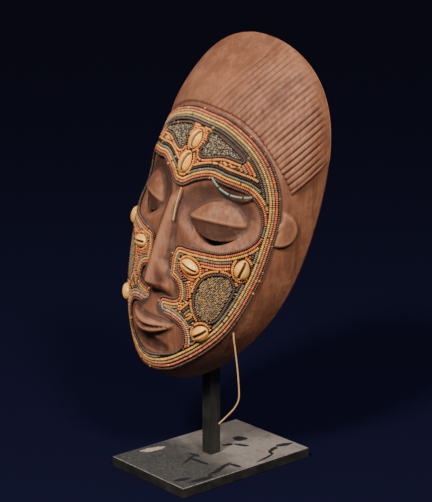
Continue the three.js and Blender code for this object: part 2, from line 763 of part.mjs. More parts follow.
const wood = piece('carved_mask', toGeometry(maskSolid()), colours.wood, mask);
piece('border_beads', borderGeometry(), colours.beads, mask);

// Face beadwork and its seed bead fields
const bareOutline = smoothOutline(mirrored(bareEdge), 60);
const allCowries = cowries.map((shell) => ({ shell, side: 1, name: shell.name }));
cowriePairs.forEach((shell) => {
  allCowries.push({ shell, side: 1, name: `${shell.name}_right` }, { shell, side: -1, name: `${shell.name}_left` });
});
const fields = [
  ['cheek_seed_beads', cheekField],
  ['forehead_seed_beads', foreheadField],
];
let rowsLayer = faceLayer(sheetHeight, bead.gap).subtract(cutter(grown(bareOutline, 0.5)));
rowsLayer = rowsLayer.subtract(carvedBlock(woodClearance));
const seedLayer = faceLayer(fieldHeight, bead.gap);
fields.forEach(([name, outline]) => {
  ['right', 'left'].forEach((hand) => {
    const onSide = smoothOutline(outline, 12).map(([a, up]) => [hand === 'right' ? a : -a, up]);
    const clockwise = hand === 'right' ? onSide : onSide.reverse();
    rowsLayer = rowsLayer.subtract(squareCutter(grown(clockwise, seam)));
    piece(`${name}_${hand}`, toGeometry(seedLayer.intersect(squareCutter(clockwise))), colours.seeds, mask);
  });
});
piece('face_beads', toGeometry(rowsLayer), colours.beads, mask);

allCowries.forEach(({ shell, side, name }) => {
  piece(name, cowrieGeometry(shell, side), colours.shell, mask);
});

// Loose ends: a short thread on the bridge of the nose, a slack string of beads and a long hanging thread
const overMask = (route) => route.map(([a, up, height]) => onMask(a, up, height));
piece('brow_thread', tubeGeometry(overMask(browThreadRoute), thread.diameter, thread.sides, threadSteps),
  colours.thread, mask);
piece('loose_bead_string', tubeGeometry(overMask(looseStringRoute), looseStringDiameter, thread.sides, threadSteps),
  colours.beads, mask);
const threadStart = onMask(hangingThreadStart.across, hangingThreadStart.up, hangingThreadStart.height)
  .applyMatrix4(mask.matrixWorld);
const threadRoute = hangingThreadDrop.map(([x, y, z]) => new THREE.Vector3(x, y, z).add(threadStart));
piece('hanging_thread', tubeGeometry(threadRoute, thread.diameter, thread.sides, threadSteps), colours.thread, model);

// Stand: a chamfered plate, and a post that goes up inside the hollow until it bears on the wood
function chamferedBar(width, length, height, chamfer) {
  const shape = new THREE.Shape([
    new THREE.Vector2(-width / 2 + chamfer, -length / 2 + chamfer),
    new THREE.Vector2(width / 2 - chamfer, -length / 2 + chamfer),
    new THREE.Vector2(width / 2 - chamfer, length / 2 - chamfer),
    new THREE.Vector2(-width / 2 + chamfer, length / 2 - chamfer),
  ]);
  const g = new THREE.ExtrudeGeometry(shape, {
    depth: height - 2 * chamfer, bevelSize: chamfer, bevelThickness: chamfer, bevelSegments: 1, curveSegments: 1,
  });
  g.translate(0, 0, chamfer);
  return g;
}

function postTop() {
  const target = new THREE.Mesh(wood.geometry, new THREE.MeshStandardMaterial({ side: THREE.DoubleSide }));
  target.matrixWorld.copy(mask.matrixWorld);
  const half = post.side / 2;
  const up = new THREE.Vector3(0, 0, 1);
  let height = Infinity;
  for (let i = -2; i <= 2; i += 1) {
    for (let j = -2; j <= 2; j += 1) {
      const start = new THREE.Vector3((i * half) / 2, (j * half) / 2, maskMiddle.z);
      const hits = new THREE.Raycaster(start, up).intersectObject(target);
      if (hits.length > 0) height = Math.min(height, hits[0].point.z);
    }
  }
  return height - postTopGap;
}

const plate = chamferedBar(basePlate.width, basePlate.length, basePlate.thickness, basePlate.chamfer);
piece('base_plate', toGeometry(toSolid(plate)), colours.steel, model);
const postHeight = postTop() - basePlate.thickness;
const postBar = chamferedBar(post.side, post.side, postHeight, post.chamfer);
postBar.translate(0, 0, basePlate.thickness);
piece('post', toGeometry(toSolid(postBar)), colours.steel, model);

export default model;
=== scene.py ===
"""A carved wooden face mask with beadwork and cowries, leaning back on a square post and base plate."""
import math

import bpy
import numpy as np
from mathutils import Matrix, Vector


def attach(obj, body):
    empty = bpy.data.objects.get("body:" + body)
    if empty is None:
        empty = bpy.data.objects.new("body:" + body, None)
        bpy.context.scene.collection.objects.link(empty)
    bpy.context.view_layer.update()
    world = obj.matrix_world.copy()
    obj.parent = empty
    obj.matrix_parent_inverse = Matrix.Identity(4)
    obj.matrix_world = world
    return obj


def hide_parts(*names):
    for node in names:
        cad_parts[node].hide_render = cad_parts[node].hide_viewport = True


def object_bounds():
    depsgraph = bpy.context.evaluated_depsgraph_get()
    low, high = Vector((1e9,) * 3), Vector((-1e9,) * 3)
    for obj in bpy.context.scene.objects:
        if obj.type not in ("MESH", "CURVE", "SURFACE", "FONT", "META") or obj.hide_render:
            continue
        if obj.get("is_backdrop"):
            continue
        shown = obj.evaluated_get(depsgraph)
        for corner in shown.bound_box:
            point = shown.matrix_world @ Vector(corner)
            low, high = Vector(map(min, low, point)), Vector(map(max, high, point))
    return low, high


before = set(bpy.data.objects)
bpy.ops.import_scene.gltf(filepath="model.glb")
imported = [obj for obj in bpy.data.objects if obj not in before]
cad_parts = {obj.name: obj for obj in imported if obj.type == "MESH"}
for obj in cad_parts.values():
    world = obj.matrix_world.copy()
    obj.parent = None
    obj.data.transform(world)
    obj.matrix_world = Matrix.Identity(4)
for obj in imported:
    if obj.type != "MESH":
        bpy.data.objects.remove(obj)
cad_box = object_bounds()
rng = np.random.default_rng(11)

MM = 0.001

# Camera: the photograph's viewpoint, in millimetres
LOOK_AT = Vector((3.1, 3.6, 219.2)) * MM
CAMERA_AT = Vector((1117.1, -954.6, 584.2)) * MM
LENS = 111.2
SENSOR = 36

# Mask: pose on the stand and carved form, in millimetres as in the part's source
TILT_BACK = math.radians(18)
SIDE_LEAN = math.radians(8.3)
MASK_MIDDLE = np.array((1, 40.4, 250.4))
HALF_LENGTH = 173
WALL = 12
OUTLINE_POWER = 2.19
HALF_WIDTH = (100.2, -3.2, 14.8, 40)
DEPTH = (90.5, 13.3, -55.2, -44.3)
RIM_BOW = (0, 0, -29.4, -14.4)
SECTION_POWER = (0.36, 0.22)

# Carving of the face: places (across, up) and half sizes on the unrolled skin, and heights over it
SOCKET_AT = (52, 1)
SOCKET_HALF = (47, 33)
SOCKET_DEPTH = 9.5
EYE_ACROSS = 53
EYE_HALF = 32
EYE_SWELL = 10
UPPER_LID = 21
LOWER_LID = 19
LID_EDGE = 1.1
SLIT_ENDS = (-0.78, 0.74)
SLIT_WIDTH = 5
SLIT_FRONT = -140
SLIT_BACK = 10
NOSE_TOP = 12
NOSE_FADE = 14
NOSE_TIP_UP = -82
NOSE_FOOT = -91
BRIDGE = 2.5
NOSE_TIP = 17
BRIDGE_HALF = 6.5
STEM_HALF = 11.5
WING_HALF = 26
MUZZLE_UP = -122
MUZZLE_HALF = (38, 32)
MUZZLE_HEIGHT = 7
LIPS_UP = -127
LIPS_HALF = 30
LIPS_HEIGHT = 6.5
CHIN_UP = -144
CHIN_HALF = (30, 9)
CHIN_DEPTH = 3
EAR_AT = (115.5, 8)
EAR_HALF = (19, 17)
EAR_FRONT = 113
EAR_HEIGHT = 3.2

# Fineness of the wood's mesh
WOOD_ROWS = 250
WOOD_HALF_COLUMNS = 96
HOLLOW_COLUMNS = 61

# Coiffure: combs in parallel planes on each side, with a smooth worn parting between them
HAIR_SIDE_UP = 37
HAIR_CROWN_RISE = 56
HAIR_HALF = 95
HAIR_EDGE = HAIR_HALF - 0.5
COMB_PITCH = 5.1
COMB_DEPTH = 1.45
COMB_LEAN = (0.91, 0.764)
PARTING = (-72, -16)
PARTING_REACH = 40
HAIR_RISE = (2.2, 4.2, 3.6, 2.4, 0.9)
HAIR_SUNK = 5
HAIR_LIP_STEPS = (0, 0.25, 0.7, 1.3, 2.2, 3.4, 5)
HAIR_RIM_STOP = 0.985
COMB_RIM_ROOM = 5
COMB_FADE = 18
COMB_WAVE = 17
LEFT_COMBS_FROM = 40
COMB_DRAWS = 90
COMB_PARTS = 7
PARTING_PARTS = 60
HAIR_ROWS = 46
HAIR_STATIONS = 240

# Beads: pitch between rows, step along a row, size and height of the middle over the wood
ROW_PITCH = 2.85
BEAD_STEP = 1.75
BEAD_WIDE = 2.8
BEAD_LONG = 1.85
BEAD_SIZE = (BEAD_LONG, BEAD_WIDE, BEAD_WIDE)
BEAD_UP = 1.5
BORDER_ROWS = 4
INNER_BORDER_ROWS = 12
BROW_ROWS = 6
CHIN_TOP = -100
NEAREST = 2.3
FILL_STEP = 1.2
FILL_NEAREST = 2.1
STRAY_SHARE = 0.03
SEED_SIZE = (1.35, 1.8, 1.8)
SEED_UP = 1.2
SEED_STEP = 1.65

# Outlines on the unrolled skin, right side only: (across, up)
BORDER_EDGE = (
    (0, 91), (24, 90.5), (45, 86), (66, 78), (85, 65), (99, 49), (108, 32), (113, 12), (113.5, -12),
    (111, -38), (105.5, -60), (98, -82), (86, -106), (70, -127), (50, -147), (27, -164), (0, -172),
)
BARE_EDGE = (
    (0, 13), (7, 14), (20, 23), (36, 30), (50, 29.5), (64, 29.5), (76, 29), (88, 22), (95, 12), (97, -2),
    (92, -13), (80, -23), (67, -30), (54, -33), (36, -36), (19, -39), (13.5, -50), (13.5, -63), (14.5, -72),
    (27, -78), (28.5, -88), (9, -94.5), (5.5, -101), (6, -107), (12, -112.5), (28, -113), (39, -117),
    (43, -128), (38, -138), (25, -147), (0, -155),
)
CHEEK_FIELD = (
    (60, -58), (77, -51), (85, -57), (82, -73), (72, -95), (61, -100), (52, -91), (51, -73),
)
FOREHEAD_FIELD = ((14, 70), (38, 66), (60, 57), (41, 56), (15, 48), (13, 54), (16, 62))

# Cowries: (across, up), length, width, height and turn of the mouth from the up direction
COWRIES = {
    "cowrie_forehead_upper": ((0, 59.5), 20, 14.5, 7.5, 0),
    "cowrie_forehead_lower": ((0, 36.5), 22, 15, 8, 0),
    "cowrie_inner_cheek": ((39.5, -54.5), 21, 14, 7.5, 98),
    "cowrie_outer_cheek": ((90.5, -38.5), 20, 14.5, 7.5, 8),
    "cowrie_lower_cheek": ((61, -112.5), 19, 14, 7.5, 42),
}

# Height of a shell's underside over the wood, and the shift of the forehead shells' mouths
COWRIE_LOW = 0.7
FOREHEAD_MOUTH = 0.15

# Routes of the threads, as in the part's source
BROW_THREAD = (
    (9, 13, 4.6), (8.9, 9, 4.6), (8.8, 4.5, 4.6), (8.8, 0, 4.7), (8.9, -4.5, 4.8), (9.2, -9, 4.8),
    (9.6, -13.5, 4.8), (10, -18.5, 4.8),
)
LOOSE_STRING = (
    (37, 34, 4.4), (42, 30.4, 4.6), (48, 27, 4.6), (54, 24.8, 4.6), (61, 23.8, 4.6), (68, 24.4, 4.6),
    (75, 26.2, 4.6), (81, 29, 4.4),
)
HANGING_START = (92, -100, 2.6)
HANGING_DROP = (
    (0, 0, 0), (1.1, -0.6, -6), (1.6, 0.2, -13), (2, 0.9, -20), (2.7, 1.6, -28), (3.3, 2.2, -36),
    (3.8, 2.7, -44), (4.2, 3.1, -52), (4.5, 3.3, -59), (4.4, 3.2, -64), (3.4, 2.5, -69), (1.4, 0.9, -74),
    (-1.2, -1, -78.5), (-4.4, -3.5, -83), (-7.7, -6.1, -87.5), (-11, -8.7, -92),
)
THREAD = 1.5
LOOSE_STRING_WIDE = 2.4
LOOSE_STRING_STEP = 1.9

# Bead colours, linear
DARK = (0.085, 0.048, 0.031)
BLACK = (0.012, 0.011, 0.011)
CORAL = (0.52, 0.12, 0.045)
ORANGE = (0.68, 0.25, 0.05)
YELLOW = (0.68, 0.36, 0.065)
CREAM = (0.5, 0.38, 0.22)
GREEN_GREY = (0.17, 0.145, 0.095)
BLACK_GREEN = (0.045, 0.055, 0.042)
MINT = (0.24, 0.36, 0.29)
OLIVE = (0.2, 0.13, 0.055)
GOLD = (0.42, 0.25, 0.085)
SAND = (0.4, 0.31, 0.21)
TAN = (0.4, 0.22, 0.1)

BORDER_COLOURS = (DARK, CORAL, TAN, YELLOW)
INNER_BORDER_COLOURS = (GREEN_GREY, DARK, ORANGE, CORAL, TAN, ORANGE, DARK, ORANGE, YELLOW)
BROW_COLOURS = (DARK, CORAL, YELLOW, GREEN_GREY, BLACK, ORANGE)
CHEEK_COLOURS = (DARK, CORAL, YELLOW, GREEN_GREY, CORAL, ORANGE)
CHIN_COLOURS = (DARK, CORAL, CREAM, TAN, BLACK_GREEN, ORANGE)
STRAY_COLOURS = (ORANGE, YELLOW, DARK, GREEN_GREY)
CHEEK_SEEDS = (OLIVE, GOLD, GREEN_GREY, TAN)
FOREHEAD_SEEDS = (SAND, GREEN_GREY, OLIVE, BLACK_GREEN)

# Colours of wood, dirt, shell, thread, paint and room, and of the painted highlights and painted shade on
# wood, shell and steel, linear
WOOD_DEEP = (0.17, 0.056, 0.022)
WOOD_WARM = (0.27, 0.1, 0.043)
WOOD_STREAK = (0.35, 0.145, 0.068)
WOOD_GRAIN = (0.1, 0.034, 0.015)
# Paler wood for worn ridges with a painted highlight, and darker wood for painted shade in hollows
WOOD_WEAR_HIGHLIGHT = (0.43, 0.185, 0.09)
WOOD_SHADE = (0.05, 0.02, 0.012)
WOOD_DUST = (0.36, 0.2, 0.13)
BEAD_BED = (0.06, 0.034, 0.02)
BEAD_DIRT = (0.09, 0.06, 0.04)
SHELL_AMBER = (0.94, 0.4, 0.065)
SHELL_PALE = (0.99, 0.6, 0.16)
SHELL_STAIN = (0.6, 0.22, 0.04)
SHELL_MOUTH_SHADE = (0.07, 0.028, 0.012)
THREAD_DARK = (0.5, 0.24, 0.08)
THREAD_PALE = (0.78, 0.48, 0.22)
PAINT = (0.014, 0.0135, 0.011)
PAINT_GREY = (0.036, 0.033, 0.026)
PLATE_FRONT = (0.032, 0.031, 0.026)
PLATE_BACK = (0.26, 0.215, 0.175)
PLATE_DUST = (0.13, 0.115, 0.1)
MARK_BLACK = (0.007, 0.007, 0.007)
MARK_PALE = (0.42, 0.32, 0.25)
POST_STREAK = (0.06, 0.052, 0.04)
EDGE_HIGHLIGHT = (0.24, 0.21, 0.17)
FLOOR = (0.0042, 0.0042, 0.02)
SKY = (0.5, 0.5, 0.68)
LIGHT_TONE = (1, 0.95, 0.9)

# Lights and floor: places and widths in metres, powers in watts
KEY_AT = (0.585, -1.53, 1.72)
KEY_POWER = 58
SIDE_AT = (1.56, -0.48, 1.72)
SIDE_POWER = 38
SKY_STRENGTH = 0.3
LIGHT_WIDE = 0.35
LIGHT_AIM = (0, 0, 0.22)
FLOOR_WIDE = 60

# Marks on the base plate: middle (x, y), half length, half width in millimetres and turn in degrees
BLACK_MARKS = (
    (1, -30, 14, 1.8, 114), (11, -26, 14, 2.3, 6), (-4, -18, 8, 2.5, 9), (37, -69, 10, 3.1, 77),
    (49, -55, 15, 4, 84), (41, -25, 20, 3.3, 108), (43, -6, 7, 2.7, 15), (-9, 47, 8, 6.6, 49),
    (-4, 26, 7, 2.8, 66), (6, 36, 9, 2.8, 29), (33, 69, 10, 3.7, -102), (35, 53, 10, 2.9, -73),
    (41, 44, 6, 2, -22), (48, 30, 14, 1.8, -78),
)
PALE_MARK = (-44, -41, 13, 5, 78)


def smooth(t):
    t = np.clip(t, 0, 1)
    return t * t * (3 - 2 * t)


def cubic(c, u):
    return c[0] + c[1] * u + c[2] * u**2 + c[3] * u**3


def unit(v):
    return v / np.maximum(1e-9, np.linalg.norm(v, axis=-1, keepdims=True))


def run_along(line):
    """Distance of each point of a line from its start."""
    return np.concatenate(([0], np.cumsum(np.linalg.norm(np.diff(line, axis=0), axis=1))))


def points_at(goals, along, line):
    return np.stack([np.interp(goals, along, line[:, k]) for k in range(line.shape[1])], 1)


def section_power(u):
    return SECTION_POWER[0] + (SECTION_POWER[1] - SECTION_POWER[0]) * u**2


def section_points(u, turn, inset=0):
    """Points of the mask's cross-sections: turn is 0 at the middle line and a quarter turn at the rim."""
    closing = np.maximum(0, 1 - np.abs(u) ** OUTLINE_POWER)
    power = section_power(u)
    facing = np.maximum(0, np.cos(turn))
    across = (cubic(HALF_WIDTH, u) - inset) * np.sqrt(closing)
    across = across * np.sqrt(np.maximum(0, 1 - facing ** (1 / power))) * np.sign(turn)
    back = cubic(RIM_BOW, u) - (cubic(DEPTH, u) - inset) * closing**power * facing
    return np.stack(np.broadcast_arrays(across, back, (HALF_LENGTH - inset) * u), -1)


def unroll():
    """The skin as a table of points at equal steps up the middle line and across to the rim."""
    rows, columns, samples = 420, 200, 2400
    t = np.linspace(-1, 1, samples + 1)
    heights = np.sign(t) * np.minimum(0.99999, 1 - (1 - np.abs(t)) ** 3)
    middle = section_points(heights, np.zeros_like(heights))
    along = run_along(middle)
    centre = along[samples // 2]
    ups = np.linspace(0, along[-1], rows + 1)
    u = np.interp(ups, along, heights)
    turn = np.linspace(1e-9, math.pi / 2, 500)
    fine = section_points(u[:, None], turn[None, :])
    curve = np.cumsum(np.linalg.norm(np.diff(fine, axis=1), axis=2), axis=1)
    curve = np.concatenate((np.zeros((rows + 1, 1)), curve), 1)
    half = curve[:, -1]
    table = np.empty((rows + 1, columns + 1, 3))
    for r in range(rows + 1):
        goals = np.linspace(0, half[r], columns + 1)
        for k in range(3):
            table[r, :, k] = np.interp(goals, curve[r], fine[r, :, k])
    return -centre, along[-1] - centre, half, table


SHEET_BOTTOM, SHEET_TOP, SHEET_HALF, SHEET = unroll()


def sheet_row(up):
    return np.clip((up - SHEET_BOTTOM) / (SHEET_TOP - SHEET_BOTTOM), 0, 1) * (len(SHEET) - 1)


def half_sheet(up):
    return np.interp(sheet_row(np.asarray(up, float)), np.arange(len(SHEET)), SHEET_HALF)


def sheet_points(across, up):
    across, up = np.broadcast_arrays(np.asarray(across, float), np.asarray(up, float))
    row = sheet_row(up)
    low = np.minimum(len(SHEET) - 2, row.astype(int))
    column = np.clip(np.abs(across) / np.maximum(half_sheet(up), 1e-6), 0, 1) * (SHEET.shape[1] - 1)
    left = np.minimum(SHEET.shape[1] - 2, column.astype(int))
    fr, fc = (row - low)[..., None], (column - left)[..., None]
    lower = SHEET[low, left] * (1 - fc) + SHEET[low, left + 1] * fc
    upper = SHEET[low + 1, left] * (1 - fc) + SHEET[low + 1, left + 1] * fc
    p = lower * (1 - fr) + upper * fr
    p[..., 0] *= np.sign(across)
    return p


def sheet_normals(across, up, step=1):
    side = sheet_points(across + step, up) - sheet_points(across - step, up)
    rise = sheet_points(across, up + step) - sheet_points(across, up - step)
    return unit(np.cross(side, rise))


def mask_turn():
    c, s = math.cos(TILT_BACK), math.sin(TILT_BACK)
    tilt = np.array(((1, 0, 0), (0, c, s), (0, -s, c)))
    c, s = math.cos(SIDE_LEAN), math.sin(SIDE_LEAN)
    return tilt @ np.array(((c, 0, s), (0, 1, 0), (-s, 0, c)))


MASK_TURN = mask_turn()


def placed(local):
    """Points of the mask's own frame, in millimetres, as places in the scene."""
    return (local @ MASK_TURN.T + MASK_MIDDLE) * MM


def on_mask(across, up, height):
    across, up = np.asarray(across, float), np.asarray(up, float)
    return sheet_points(across, up) + sheet_normals(across, up) * np.asarray(height, float)[..., None]


# Carving of the face, as heights over the plain skin
def eye_middle(share):
    return -4 + 5 * share


def eye_opening(share):
    return np.maximum(0, 1 - share**2) ** 0.8


def eye_relief(a, up):
    share = np.clip((a - EYE_ACROSS) / EYE_HALF, -1, 1)
    opening = eye_opening(share)
    above = up - eye_middle(share)
    reach = np.where(above > 0, UPPER_LID * opening, LOWER_LID * opening)
    t = np.clip(np.abs(above) / np.maximum(0.5, reach), 0, 1)
    rise = np.where(above > 0, 1 - t**2.2, (1 - t) ** 0.9)
    lid_edge = LID_EDGE * np.exp(-(((above + 1.2) / 1.3) ** 2)) * opening
    return np.where(np.abs((a - EYE_ACROSS) / EYE_HALF) < 1, EYE_SWELL * opening * rise + lid_edge, 0)


def nose_relief(a, up):
    down = np.clip((NOSE_TOP - up) / (NOSE_TOP - NOSE_TIP_UP), 0, 1)
    crest = (BRIDGE + (NOSE_TIP - BRIDGE) * down) * smooth((NOSE_TOP - up) / NOSE_FADE)
    foot = np.clip((up - NOSE_FOOT) / 9, 0, 1) ** 0.6
    stem = BRIDGE_HALF + (STEM_HALF - BRIDGE_HALF) * np.clip(down * 1.8, 0, 1)
    half = stem + (WING_HALF - stem) * smooth((down - 0.72) / 0.24)
    t = a / half
    wing = 1 - 0.45 * smooth((down - 0.75) / 0.25) * smooth(t * 2.2)
    alar = 1.6 * np.exp(-(((a - 17) / 5) ** 2) - ((up + 83) / 5) ** 2)
    body = crest * foot * np.maximum(0, 1 - np.clip(t, 0, 1) ** 1.7) * wing
    return np.where((up > NOSE_FOOT) & (up < NOSE_TOP) & (t < 1), body + alar, 0)


def mouth_relief(a, up):
    far = (a / MUZZLE_HALF[0]) ** 2 + ((up - MUZZLE_UP) / MUZZLE_HALF[1]) ** 2
    mound = np.where(far < 1, MUZZLE_HEIGHT * np.maximum(0, 1 - far) ** 2, 0)
    share = np.clip(a / LIPS_HALF, 0, 1)
    line = LIPS_UP + 9 * share**1.6
    thick = 9 * (1 - share**2) + 0.5
    t = np.clip(np.abs(up - line) / thick, 0, 1)
    roll = LIPS_HEIGHT * np.sqrt(np.maximum(0, 1 - share**2)) * np.sin(math.pi * t**0.7)
    chin = (a / CHIN_HALF[0]) ** 2 + ((up - CHIN_UP) / CHIN_HALF[1]) ** 2
    return mound + np.where(a < LIPS_HALF, roll, 0) - np.where(chin < 1, CHIN_DEPTH * (1 - chin), 0)


def ear_reach(a, up):
    """Distance from the ear's middle, 1 at its outline."""
    return np.hypot((a - EAR_AT[0]) / EAR_HALF[0], (up - EAR_AT[1]) / EAR_HALF[1])


def ear_relief(a, up):
    return np.where(a > EAR_FRONT, EAR_HEIGHT * smooth((1 - ear_reach(a, up)) / 0.1), 0)


def socket_reach(a, up):
    """Squared distance from the socket's middle, 1 at its edge."""
    return ((a - SOCKET_AT[0]) / SOCKET_HALF[0]) ** 2 + ((up - SOCKET_AT[1]) / SOCKET_HALF[1]) ** 2


def relief(a, up):
    far = socket_reach(a, up)
    dish = np.where(far < 1, -SOCKET_DEPTH * np.maximum(0, 1 - far) ** 1.2, 0)
    bridge = nose_relief(a, up)
    face = np.maximum(dish + eye_relief(a, up), np.where(bridge > 0, bridge, -99))
    return face + mouth_relief(a, up) + ear_relief(a, up)


# Outlines
def mirrored(half):
    return list(half) + [(-a, up) for a, up in reversed(half[1:-1])]


def smooth_outline(points, count):
    """A closed curve through the points, at equal steps."""
    p = np.asarray(points, float)
    n = len(p)
    dense = []
    for i in range(n):
        q = [p[(i + k - 1) % n] for k in range(4)]
        d = [max(1e-4, np.linalg.norm(q[k + 1] - q[k])) ** 0.5 for k in range(3)]
        t1 = (q[1] - q[0]) / d[0] - (q[2] - q[0]) / (d[0] + d[1]) + (q[2] - q[1]) / d[1]
        t2 = (q[2] - q[1]) / d[1] - (q[3] - q[1]) / (d[1] + d[2]) + (q[3] - q[2]) / d[2]
        t1, t2 = t1 * d[1], t2 * d[1]
        for t in np.linspace(0, 1, 24, endpoint=False):
            dense.append(
                q[1] + t1 * t + (-3 * q[1] + 3 * q[2] - 2 * t1 - t2) * t**2
                + (2 * q[1] - 2 * q[2] + t1 + t2) * t**3
            )
    dense.append(dense[0])
    dense = np.array(dense)
    along = run_along(dense)
    goals = np.linspace(0, along[-1], count, endpoint=False)
    return points_at(goals, along, dense)


def clearance(points, outline):
    """Distance of each point from a closed outline."""
    best = np.full(len(points), 1e9)
    for a, b in zip(outline, np.roll(outline, -1, axis=0)):
        ab = b - a
        t = np.clip(((points - a) @ ab) / max(1e-9, ab @ ab), 0, 1)
        best = np.minimum(best, np.linalg.norm(points - a - t[:, None] * ab, axis=1))
    return best


def inside(points, outline):
    found = np.zeros(len(points), bool)
    x, y = points[:, 0], points[:, 1]
    for (ax, ay), (bx, by) in zip(outline, np.roll(outline, -1, axis=0)):
        crosses = (ay > y) != (by > y)
        edge = ax + (y - ay) * (bx - ax) / ((by - ay) or 1e-9)
        found ^= crosses & (x < edge)
    return found


OUTER = smooth_outline(mirrored(BORDER_EDGE), 700)
BARE = smooth_outline(mirrored(BARE_EDGE), 700)
FIELDS = []
for field in (CHEEK_FIELD, FOREHEAD_FIELD):
    for hand in (1, -1):
        FIELDS.append(smooth_outline([(hand * a, up) for a, up in field[::hand]], 160))


def cowrie_places():
    places = []
    for name, (at, length, width, height, turn) in COWRIES.items():
        if at[0] == 0:
            places.append((name, 1, at, length, width, height, math.radians(turn)))
        else:
            places.append((name + "_right", 1, at, length, width, height, math.radians(turn)))
            places.append((name + "_left", -1, (-at[0], at[1]), length, width, height, -math.radians(turn)))
    return places


def clear_of_cowries(points, room):
    free = np.ones(len(points), bool)
    for _, _, at, length, width, _, turn in cowrie_places():
        d = points - np.array(at)
        along = d[:, 0] * math.sin(turn) + d[:, 1] * math.cos(turn)
        over = d[:, 0] * math.cos(turn) - d[:, 1] * math.sin(turn)
        free &= (over / (width / 2 + room)) ** 2 + (along / (length / 2 + room)) ** 2 > 1
    return free


# Meshes
def mesh_piece(name, verts, faces):
    mesh = bpy.data.meshes.new(name)
    mesh.from_pydata([tuple(v) for v in verts], [], [tuple(f) for f in faces])
    mesh.update()
    piece = bpy.data.objects.new(name, mesh)
    bpy.context.collection.objects.link(piece)
    mesh.shade_smooth()
    return piece


def add_tint(piece, name, values):
    values = np.asarray(values, float)
    if values.ndim == 1:
        layer = piece.data.attributes.new(name, "FLOAT", "POINT")
        layer.data.foreach_set("value", values)
        return
    layer = piece.data.color_attributes.new(name, "FLOAT_COLOR", "POINT")
    layer.data.foreach_set("color", np.concatenate((values, np.ones((len(values), 1))), 1).ravel())


def with_zeros(values, count):
    """The outer side's values, and 0 for the points that come after them."""
    return np.concatenate((values.ravel(), np.zeros(count - values.size)))


def grid_faces(rows, columns, first=0, flip=False):
    i, j = np.meshgrid(np.arange(rows - 1), np.arange(columns - 1), indexing="ij")
    a = first + i * columns + j
    quads = np.stack((a, a + 1, a + columns + 1, a + columns), -1).reshape(-1, 4)
    return quads[:, ::-1] if flip else quads


def finish_piece(piece, node):
    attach(piece, "root")
    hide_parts(node)


def deselect():
    for o in bpy.context.selected_objects:
        o.select_set(False)


# Materials
class Nodes:
    """Short forms for a material's nodes."""

    def __init__(self, name, roughness):
        self.material = bpy.data.materials.new(name)
        self.material.use_nodes = True
        self.tree = self.material.node_tree
        self.shader = self.tree.nodes["Principled BSDF"]
        self.shader.inputs["Roughness"].default_value = roughness
        self.place = self.tree.nodes.new("ShaderNodeTexCoord").outputs["Object"]

    def link(self, a, b):
        self.tree.links.new(a, b)

    def attribute(self, name, kind="Fac"):
        node = self.tree.nodes.new("ShaderNodeAttribute")
        node.attribute_name = name
        return node.outputs[kind]

    def mapped(self, scale, turn=(0, 0, 0)):
        node = self.tree.nodes.new("ShaderNodeMapping")
        node.inputs["Scale"].default_value = scale
        node.inputs["Rotation"].default_value = turn
        self.link(self.place, node.inputs["Vector"])
        return node.outputs["Vector"]

    def noise(self, vector, scale, detail=5, roughness=0.55, distortion=0.0):
        node = self.tree.nodes.new("ShaderNodeTexNoise")
        node.inputs["Scale"].default_value = scale
        node.inputs["Detail"].default_value = detail
        node.inputs["Roughness"].default_value = roughness
        node.inputs["Distortion"].default_value = distortion
        self.link(vector, node.inputs["Vector"])
        return node.outputs["Fac"]

    def ramp(self, value, low, high, a=0.0, b=1.0):
        node = self.tree.nodes.new("ShaderNodeMapRange")
        node.interpolation_type = "SMOOTHSTEP"
        for key, number in (("From Min", low), ("From Max", high), ("To Min", a), ("To Max", b)):
            node.inputs[key].default_value = number
        self.link(value, node.inputs["Value"])
        return node.outputs["Result"]

    def math(self, kind, a, b):
        node = self.tree.nodes.new("ShaderNodeMath")
        node.operation = kind
        for socket, value in zip(node.inputs, (a, b)):
            if isinstance(value, (int, float)):
                socket.default_value = value
            else:
                self.link(value, socket)
        return node.outputs[0]

    def add(self, a, b):
        return self.math("ADD", a, b)

    def less(self, a, b):
        return self.math("SUBTRACT", a, b)

    def times(self, a, b):
        return self.math("MULTIPLY", a, b)

    def axes(self, vector):
        node = self.tree.nodes.new("ShaderNodeSeparateXYZ")
        self.link(vector, node.inputs["Vector"])
        return node.outputs

    def mix(self, share, a, b):
        node = self.tree.nodes.new("ShaderNodeMix")
        node.data_type = "RGBA"
        for key, value in ((0, share), (6, a), (7, b)):
            if isinstance(value, tuple):
                node.inputs[key].default_value = (*value, 1)
            elif isinstance(value, (int, float)):
                node.inputs[key].default_value = value
            else:
                self.link(value, node.inputs[key])
        return node.outputs[2]

    def colour(self, socket):
        self.link(socket, self.shader.inputs["Base Color"])

    def bump(self, height, distance, strength=1.0):
        node = self.tree.nodes.new("ShaderNodeBump")
        node.inputs["Strength"].default_value = strength
        node.inputs["Distance"].default_value = distance
        self.link(height, node.inputs["Height"])
        self.link(node.outputs["Normal"], self.shader.inputs["Normal"])


